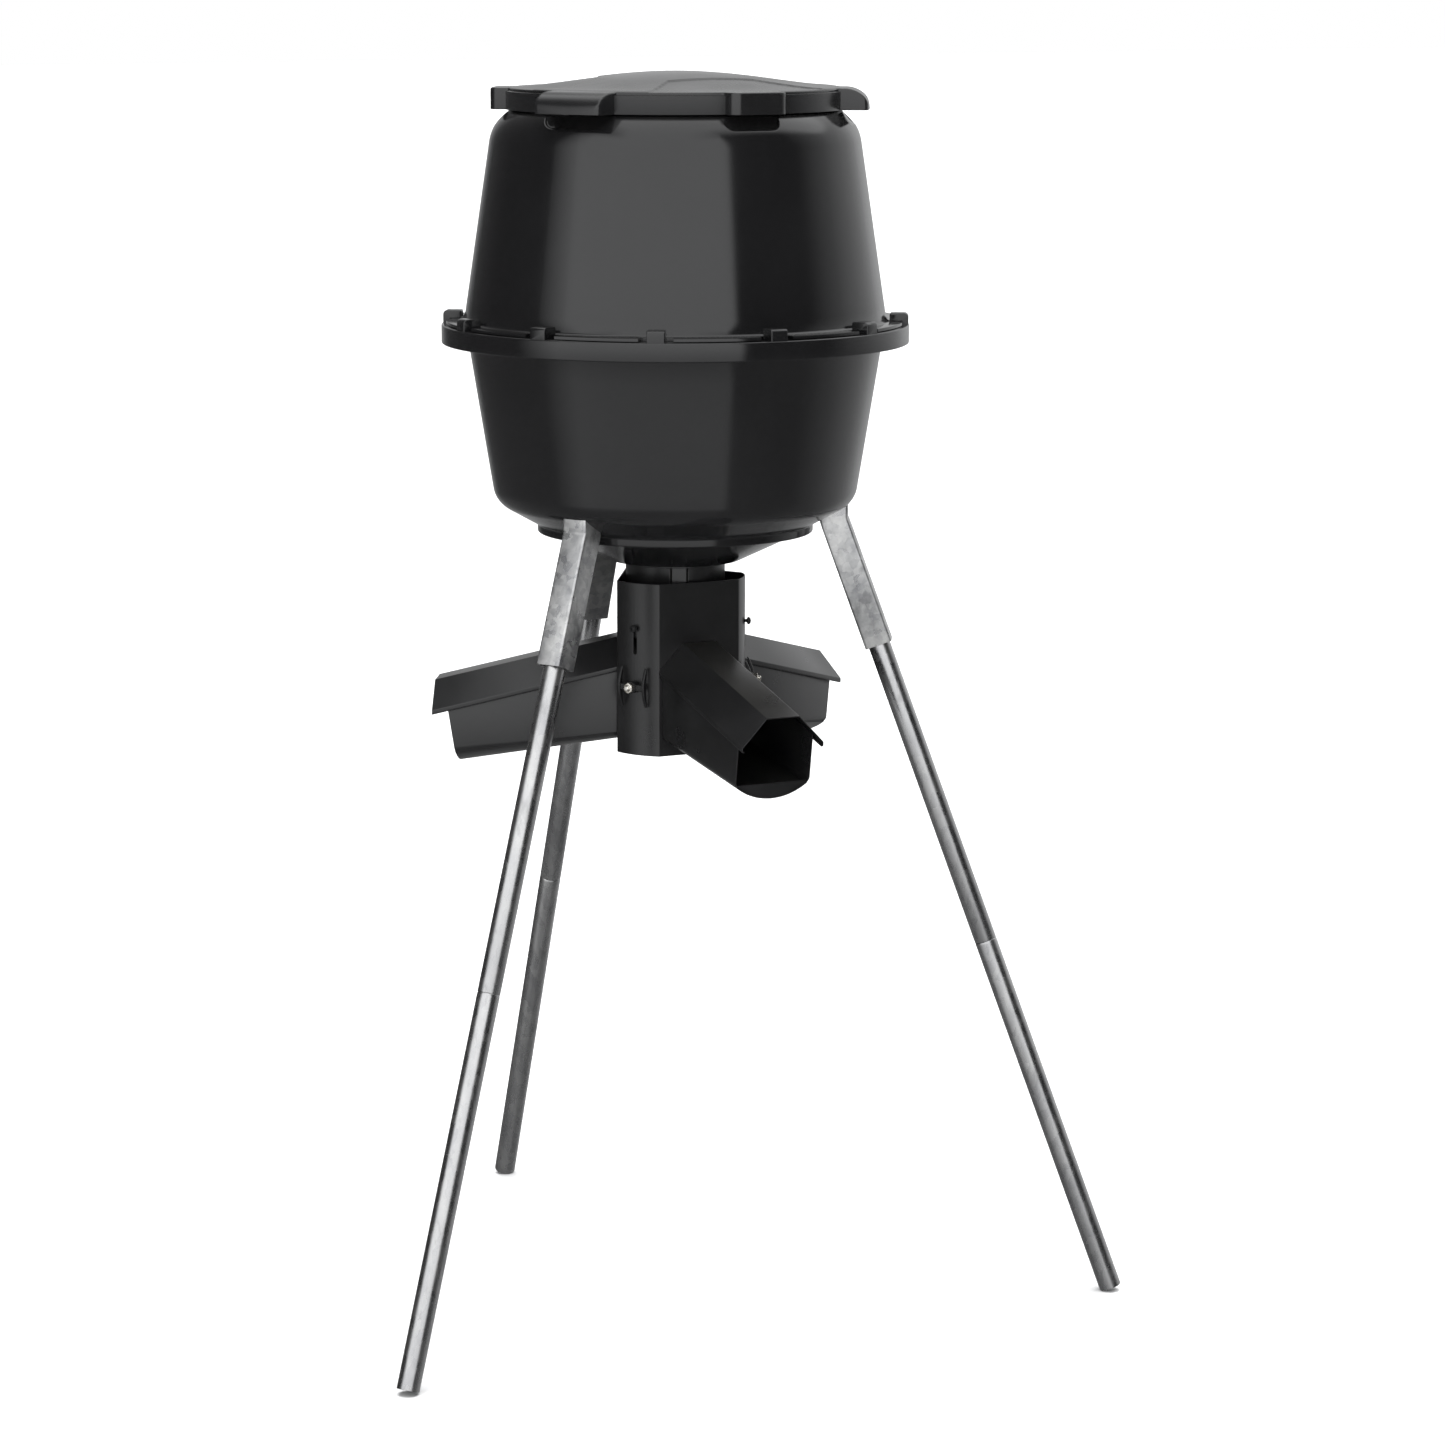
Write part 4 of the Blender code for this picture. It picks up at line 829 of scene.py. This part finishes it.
def head_housing():
    outer, inner = head_outline(0.0, 0.004), head_outline(SHEET, 0.0025)
    centre = [(0.5 * (a[0] + b[0]), 0.5 * (a[1] + b[1])) for a, b in zip(outer, inner)]
    lip, pull = 0.0003, 0.4  # the edges are rounded off towards the sheet's middle

    def station(points, share, z):
        return [(x + (u - x) * share, y + (v - y) * share, z) for (x, y), (u, v) in zip(points, centre)]

    heights = [(pull, HEAD_LOW), (0.0, HEAD_LOW + lip), (0.0, HEAD_TOP - lip), (pull, HEAD_TOP)]
    stations = [station(outer, *height) for height in heights]
    stations += [station(inner, *height) for height in reversed(heights)]
    skin = grid("head_skin", stations, wrap=True)

    half, low, ridge = 0.0535, 0.7995, 0.925
    corners = [(-half, low), (half, low), (half, EAVE_Z)]
    corners += [(RIDGE_HALF, ridge), (-RIDGE_HALF, ridge), (-half, EAVE_Z)]
    opening = rounded([(*corner, 0.003) for corner in corners], 3)
    way = slab("way", opening, HEAD_FLAT - 0.006, HEAD_FLAT + 0.006)
    slot = moved(slab("slot", keyhole(), HEAD_R - 0.006, HEAD_R + 0.006), UPRIGHT)
    hole = moved(rod(HOLE_R, 0.088, 0.105, 32), OUTWARD, shift(z=WING_Z))
    ways = copies(moved(way, UPRIGHT), CHUTES.values())
    return boolean(skin, ways + copies(together([slot, hole]), LEGS.values()))


def sheet_loft(name, stations):
    """Bent sheet between stations of (reach, outer path, inner path); reach is a function of height."""
    loops = []
    for reach, outer, inner in stations:
        loops.append([(reach(z), y, z) for y, z in list(outer) + list(reversed(inner))])
    count = len(loops[0])
    faces = grid_faces(len(loops), count, False, True)
    for start in (0, (len(loops) - 1) * count):
        for i in range(count // 2 - 1):
            faces.append((start + i, start + i + 1, start + count - 2 - i, start + count - 1 - i))
    return softened(mesh_from(name, [p for loop in loops for p in loop], faces), 0.00035, 2, 60.0)


def trough_floor(reach, half, inset=0.0):
    """The floor's arc at a distance from the axis, with the heights of its ends and of its lowest line."""
    crease = CREASE_Z - CREASE_SLOPE * (reach - HEAD_FLAT)
    lowest = FLOOR_Z - FLOOR_SLOPE * (reach - HEAD_FLAT)
    sag = crease - lowest
    radius = (TROUGH_HALF**2 + sag**2) / (2 * sag)
    spread = math.degrees(math.asin(half / (radius - inset)))
    return arc((0.0, lowest + radius), radius - inset, -90.0 - spread, -90.0 + spread, 22), crease, lowest


def trough():
    def section(top_reach, low_reach):
        floor, crease, lowest = trough_floor(low_reach, TROUGH_HALF)
        eave = EAVE_Z - ROOF_SLOPE * (top_reach - HEAD_FLAT) + 0.0018
        side = [(-TROUGH_HALF, eave), (-TROUGH_HALF, crease + 0.006)]
        side.append((-TROUGH_HALF + 0.0003, crease + 0.0026))
        path = side + floor[1:-1] + [(-y, z) for y, z in reversed(side)]
        slant = (low_reach - top_reach) / (eave - lowest)
        return (lambda z: top_reach + slant * (eave - z)), path, offset_path(path, -SHEET)

    sheet = sheet_loft("trough", [section(CHUTE_START, CHUTE_START), section(TROUGH_TOP_END, TROUGH_LOW_END)])
    dam = trough_floor(DAM_REACH, TROUGH_HALF - 0.0008, SHEET / 2)[0]
    plate = moved(slab("dam", dam, DAM_REACH - SHEET, DAM_REACH, 0.0003), UPRIGHT)
    return boolean(sheet, [plate], "UNION")


def roof():
    def section(reach):
        ridge, eave = (z - ROOF_SLOPE * (reach - HEAD_FLAT) for z in (RIDGE_Z, EAVE_Z))
        lip_z, lip_y = eave - 0.0065, 0.0567  # the folded-in edge
        side = [(RIDGE_HALF, ridge, 0.0030), (EAVE_HALF, eave, 0.0022), (EAVE_HALF, lip_z, 0.0020)]
        side.append((lip_y, lip_z))
        path = rounded([(-y, *rest) for y, *rest in reversed(side)] + side, 5, False)
        return (lambda z: reach), path, offset_path(path, SHEET)

    return sheet_loft("roof", [section(CHUTE_START), section(ROOF_END)])


# ---- fasteners ----


HUB_DEPTH = 0.0112  # of the hand nut


def threaded(radius, start, end, pitch=0.00125, depth=0.0006):
    """Profile points of a thread's ridges along a rod, going up."""
    points = []
    z = start
    while z + pitch <= end:
        points += [(radius, z), (radius, z + 0.3 * pitch)]
        points += [(radius - depth, z + 0.6 * pitch), (radius - depth, z + 0.7 * pitch)]
        z += pitch
    return points


def hanger_screw():
    profile = [(0.0, 0.0), (0.0017, 0.0)] + threaded(0.0025, 0.0010, 0.0250, 0.0009, 0.0004)
    profile += [(0.0025, 0.0255), (0.0046, 0.0266), (0.0052, 0.0276), (0.0051, 0.0288), (0.0045, 0.0300)]
    profile += [(0.0030, 0.0311), (0.0012, 0.0315), (0.0, 0.0315)]
    body = lathe("screw", profile, 40, wrap=False)
    slit = block((-0.0026, -0.0005, 0.0298), (0.0026, 0.0005, 0.0330))
    for cut in copies(slit, (45.0, 135.0)):
        body = boolean(body, [cut])
    return moved(body, OUTWARD, shift(0.0735, 0.0, SCREW_Z))


def wing_bolt():
    seat = 0.0940 - 0.002 - 0.0003  # the head bears on the cone's ear from inside
    tip = 0.1195 - seat
    profile = [(0.0, -0.0048), (0.0030, -0.0046), (0.0058, -0.0038), (0.0077, -0.0022), (0.0085, -0.0006)]
    profile += [(0.0085, 0.0), (0.0040, 0.0)] + threaded(0.0040, 0.0020, tip - 0.0022)
    profile += [(0.0036, tip - 0.0012), (0.0027, tip - 0.0002), (0.0, tip)]
    return moved(lathe("bolt", profile, 48, wrap=False), OUTWARD, shift(seat, 0.0, WING_Z))


def wing_nut():
    bore, hub_r, low = HOLE_R, 0.0080, 0.0006
    profile = [(bore, low, 0.0004), (hub_r, low, 0.0008)]
    profile += [(hub_r, HUB_DEPTH, 0.0010), (bore, HUB_DEPTH, 0.0004)]
    hub = lathe("hub", rounded(profile, 3), 48)
    bar = softened(block((-0.0045, -0.0215, 0.0048), (0.0045, 0.0215, 0.0098)), 0.0012, 3)
    bar = boolean(bar, [rod(0.0060, -0.01, 0.03, 32)])
    half = 0.0270
    span = np.linspace(half, -half, 19)
    outer = [(x, 0.0036 + 0.0078 * (1.0 - (x / half) ** 2) ** 1.1) for x in span]
    inner = [(x, 0.0018 + 0.0030 * (1.0 - (x / half) ** 2)) for x in reversed(span)]
    blades = []
    for side in (-1.0, 1.0):
        blade = slab("blade", outer + inner, -0.0021, 0.0021, 0.0007)
        blades.append(moved(blade, turn(90.0, "X"), shift(y=0.0200 * side)))
    nut = boolean(boolean(hub, [bar], "UNION"), blades, "UNION")
    return moved(nut, OUTWARD, shift(HEAD_R, 0.0, WING_Z))


def mirrored(profile, depth):
    """A profile going up to half the depth, followed by its mirror image."""
    return profile + [(r, depth - z) for r, z in reversed(profile)]


def hex_nut(start, height, width=0.013, depth=0.0065):
    """A hexagon nut with chamfered corners, its inner face at a distance from the axis."""
    corner = width / math.sqrt(3.0)
    body = slab("hex", arc((0.0, 0.0), corner, 0.0, 300.0, 5), 0.0, depth)
    rim = [(0.0, 0.0), (width / 2 - 0.0002, 0.0), (corner, 0.0006), (corner + 0.0004, 0.0009)]
    body = boolean(body, [lathe("chamfer", mirrored(rim, depth), 48, wrap=False)], "INTERSECT")
    mouth = [(0.0, -0.001), (0.0050, -0.001), (HOLE_R, 0.0006)]
    bore = lathe("bore", mirrored(mouth, depth), 48, wrap=False)
    return moved(boolean(body, [bore]), OUTWARD, shift(start, 0.0, height))


# ---- legs ----


def square_loop(x, z, tilt, half, corner):
    signs = ((1, -1), (1, 1), (-1, 1), (-1, -1))
    outline = rounded([(half * a, half * b, corner) for a, b in signs], 5)
    return [(x + a * math.cos(tilt), b, z + a * math.sin(tilt)) for a, b in outline]


def bracket():
    """Square tube with rounded corners, bent where it leaves the hopper and dressed at its cut ends."""
    half = BRACKET / 2
    x_bend, x_low = leg_radius(BRACKET_BEND), leg_radius(BRACKET_LOW)
    downwards = Vector((math.sin(LEAN), -math.cos(LEAN)))
    stations = [(x_bend, BRACKET_TOP, 0.0)]
    bend = 0.010  # length on each side of the bend over which the tube turns
    for k in range(-3, 4):
        t = k / 3
        down = downwards if t > 0 else Vector((0.0, -1.0))
        stations.append((x_bend + down.x * bend * t, BRACKET_BEND + down.y * bend * t, LEAN * (t + 1) / 2))
    stations.append((x_low, BRACKET_LOW, LEAN))
    outer = [square_loop(*station, half, 0.0035) for station in stations]
    inner = [square_loop(*station, half - BRACKET_WALL, 0.0018) for station in stations]
    loops = outer + list(reversed(inner))
    mesh = grid("bracket", loops, wrap=True)
    near = x_bend - (half + SOCKET_GAP)
    hole = moved(rod(HOLE_R, near - 0.01, near + 0.012, 24), OUTWARD, shift(z=BRACKET_BOLT))
    return boolean(softened(mesh, 0.0004, 2, 60.0), [hole])


def along_leg(z):
    return (z - FOOT_Z) / math.cos(LEAN)


ALONG_LEG = Matrix.Translation((FOOT_R, 0.0, FOOT_Z)) @ Matrix.Rotation(-LEAN, 4, "Y")


def upper_leg():
    inner = TUBE_R - TUBE_WALL
    low, top = along_leg(JOINT_Z) + 0.0003, along_leg(UPPER_TOP)
    profile = [(TUBE_R, top, 0.0004), (TUBE_R, low, 0.0005), (inner, low, 0.0004), (inner, top, 0.0004)]
    return moved(lathe("upper_leg", rounded(profile, 2), 48), ALONG_LEG)


def lower_leg():
    inner = TUBE_R - TUBE_WALL
    joint = along_leg(JOINT_Z)
    swage = inner - 0.0003
    bore = swage - TUBE_WALL
    profile = [(swage, joint + SWAGE, 0.0004), (swage, joint, 0.0), (TUBE_R - 0.0002, joint, 0.0010)]
    profile += [(TUBE_R, joint - 0.004, 0.0), (TUBE_R, 0.0, 0.0005), (inner, 0.0, 0.0004)]
    profile += [(inner, joint - 0.006, 0.0), (bore, joint + 0.004, 0.0), (bore, joint + SWAGE, 0.0004)]
    return moved(lathe("lower_leg", rounded(profile, 3), 48), ALONG_LEG)


# ---- assembly ----

STAND = "hopper_and_stand"

piece("lid_moulding", lid(), "hopper_plastic", "lid", "lid", finish=LID_FINISH, sharp=38.0)
piece("upper_hopper_moulding", upper_barrel(), "hopper_plastic", STAND, "upper_barrel", sharp=38.0)
piece("lower_hopper_moulding", lower_barrel(), "hopper_plastic", STAND, "lower_barrel", sharp=38.0)
piece("outlet_collar", collar(), "collar_plastic", STAND, "collar")
piece("head_shell", head_housing(), "black_steel", "feed_head", "head_housing")

trough_mesh, roof_mesh = trough(), roof()
for side, azimuth in CHUTES.items():
    piece(f"trough_sheet_{side}", trough_mesh, "black_steel", "feed_head", f"chute_trough_{side}", azimuth)
    piece(f"cover_sheet_{side}", roof_mesh, "black_steel", "feed_head", f"chute_roof_{side}", azimuth)

bracket_inside = leg_radius(BRACKET_BEND) - BRACKET / 2 + BRACKET_WALL
shapes = {
    "screw": (hanger_screw(), "black_fastener", STAND, "hanger_screw"),
    "threaded_bolt": (wing_bolt(), "zinc_fastener", "feed_head", "wing_bolt"),
    "hand_nut": (wing_nut(), "black_fastener", "wing_nut_{}", "wing_nut"),
    "hexagon_nut": (hex_nut(HEAD_R + HUB_DEPTH + 0.0003, WING_Z), "zinc_fastener", "wing_nut_{}", "lock_nut"),
    "weld_nut": (hex_nut(bracket_inside + 0.0003, BRACKET_BOLT), "zinc_fastener", STAND, "bracket_nut"),
    "bent_bracket": (bracket(), "galvanised_steel", STAND, "leg_bracket"),
    "tube_upper": (upper_leg(), "galvanised_steel", STAND, "upper_leg"),
    "tube_lower": (lower_leg(), "galvanised_steel", STAND, "lower_leg"),
}
for label, (mesh, slot, body, node) in shapes.items():
    for side, azimuth in LEGS.items():
        coat = {"screw": SCREW_FINISH, "tube_upper": TUBE_FINISH, "tube_lower": TUBE_FINISH}.get(label)
        # The back bracket takes the darker zinc copy, a painted shade for its place in the hopper's shadow.
        if (label, side) == ("bent_bracket", "back"):
            coat = SHADED_FINISH
        piece(f"{label}_{side}", mesh, slot, body.format(side), f"{node}_{side}", azimuth, coat)


# ---- floor, light and camera ----

floor_finish = Finish("pale_floor")
soft = floor_finish.span(floor_finish.noise(0.6, 2.0), 0.3, 0.7)
pale = floor_finish.blend(soft, (0.86, 0.86, 0.86), (0.88, 0.88, 0.88))
floor_finish.finish(pale, floor_finish.span(soft, 0.0, 1.0, 0.85, 0.95))
extent = 60.0
floor_mesh = bpy.data.meshes.new("floor")
corners = [(-extent, -extent, 0), (extent, -extent, 0), (extent, extent, 0), (-extent, extent, 0)]
floor_mesh.from_pydata(corners, [], [(0, 1, 2, 3)])
floor_mesh.materials.append(floor_finish.material)
floor = link("floor", floor_mesh)
floor.location.z = -0.0002
floor.visible_glossy = False

FRONT = math.radians(244.65)  # azimuth from which the studio's main panel faces the feeder

world = bpy.data.worlds.new("studio")
bpy.context.scene.world = world
world.use_nodes = True
world.node_tree.nodes.clear()
studio = Nodes(world.node_tree)


def soft_span(value, low, high, to_low, to_high):
    return studio.span(value, low, high, to_low, to_high, "SMOOTHSTEP")


direction = studio.node("TexCoord").outputs["Generated"]
rotated = studio.node("VectorRotate", {"rotation_type": "Z_AXIS"}, Vector=direction, Angle=-FRONT).outputs[0]
forward, sideways, height = studio.node("SeparateXYZ", i0=rotated).outputs[:3]
turns_round = studio.maths("DIVIDE", studio.maths("ARCTAN2", sideways, forward), math.tau)
ramp = studio.node("ValToRGB", i0=studio.maths("ADD", turns_round, 0.5))
# The panels' brightness by bearing: degrees from the main panel's middle, towards the left.
STOPS = [
    (-180.0, 0.75), (-165.0, 0.40), (-150.0, 0.10), (-120.0, 0.05), (-82.0, 0.05), (-60.0, 1.80),
    (32.5, 1.80), (34.5, 0.03), (80.0, 0.03), (94.0, 0.40), (115.0, 0.80), (150.0, 1.00), (168.0, 0.64),
    (180.0, 0.75),
]
elements = ramp.color_ramp.elements
elements.remove(elements[-1])
for index, (bearing, level) in enumerate(STOPS):
    place = (bearing + 180.0) / 360.0
    element = elements[0] if index == 0 else elements.new(place)
    element.position = place
    element.color = (level, level, level, 1.0)
# Below the horizon the panels give way to the floor's dim glow. A large panel hangs overhead.
low, high = soft_span(height, -0.75, 0.20, 0.04, 1.0), soft_span(height, 0.58, 0.90, 1.0, 0.05)
panels = studio.maths("MULTIPLY", studio.maths("MULTIPLY", ramp.outputs["Color"], low), high)
aside, ahead = studio.maths("DIVIDE", sideways, height), studio.maths("DIVIDE", forward, height)
overhead_panel = soft_span(height, 0.35, 0.55, 0.0, 1.75)
across = studio.maths("ADD", aside, ahead)
for value, outer, inner in ((aside, -0.75, -0.35), (across, 1.60, 0.55), (ahead, -1.3, -0.7)):
    overhead_panel = studio.maths("MULTIPLY", overhead_panel, soft_span(value, outer, inner, 0.0, 1.0))
glow = soft_span(height, -0.10, -0.45, 0.0, 0.17)
mixed = studio.maths("ADD", studio.maths("MINIMUM", studio.maths("ADD", panels, overhead_panel), 1.8), glow)
lit = studio.node("Background", i0=(0.985, 0.992, 1.0, 1.0), i1=mixed).outputs[0]
backdrop = studio.node("Background", i0=(1.0, 1.0, 1.0, 1.0), i1=1.0).outputs[0]
seen = studio.node("LightPath").outputs["Is Camera Ray"]
shown = studio.node("MixShader", i0=seen, i1=lit, i2=backdrop).outputs[0]
studio.node("OutputWorld", Surface=shown)

overhead = bpy.data.lights.new("overhead", "SUN")
overhead.energy = 2.6
overhead.angle = math.radians(50.0)
lamp = link("overhead", overhead)
lamp.visible_glossy = False

camera_data = bpy.data.cameras.new("camera")
camera_data.lens = 110.02
camera_data.sensor_width = 36.0
camera_data.shift_x = 0.0327
camera_data.shift_y = 0.00186
camera_data.clip_end = 200.0
camera = link("camera", camera_data)
camera.location = (-2.5905, -5.4678 + AXIS_Y, 1.875)
camera.rotation_euler = (math.radians(90.0 - 10.07), 0.0, math.radians(-25.35))
bpy.context.scene.camera = camera
bpy.context.scene.view_settings.view_transform = "Standard"
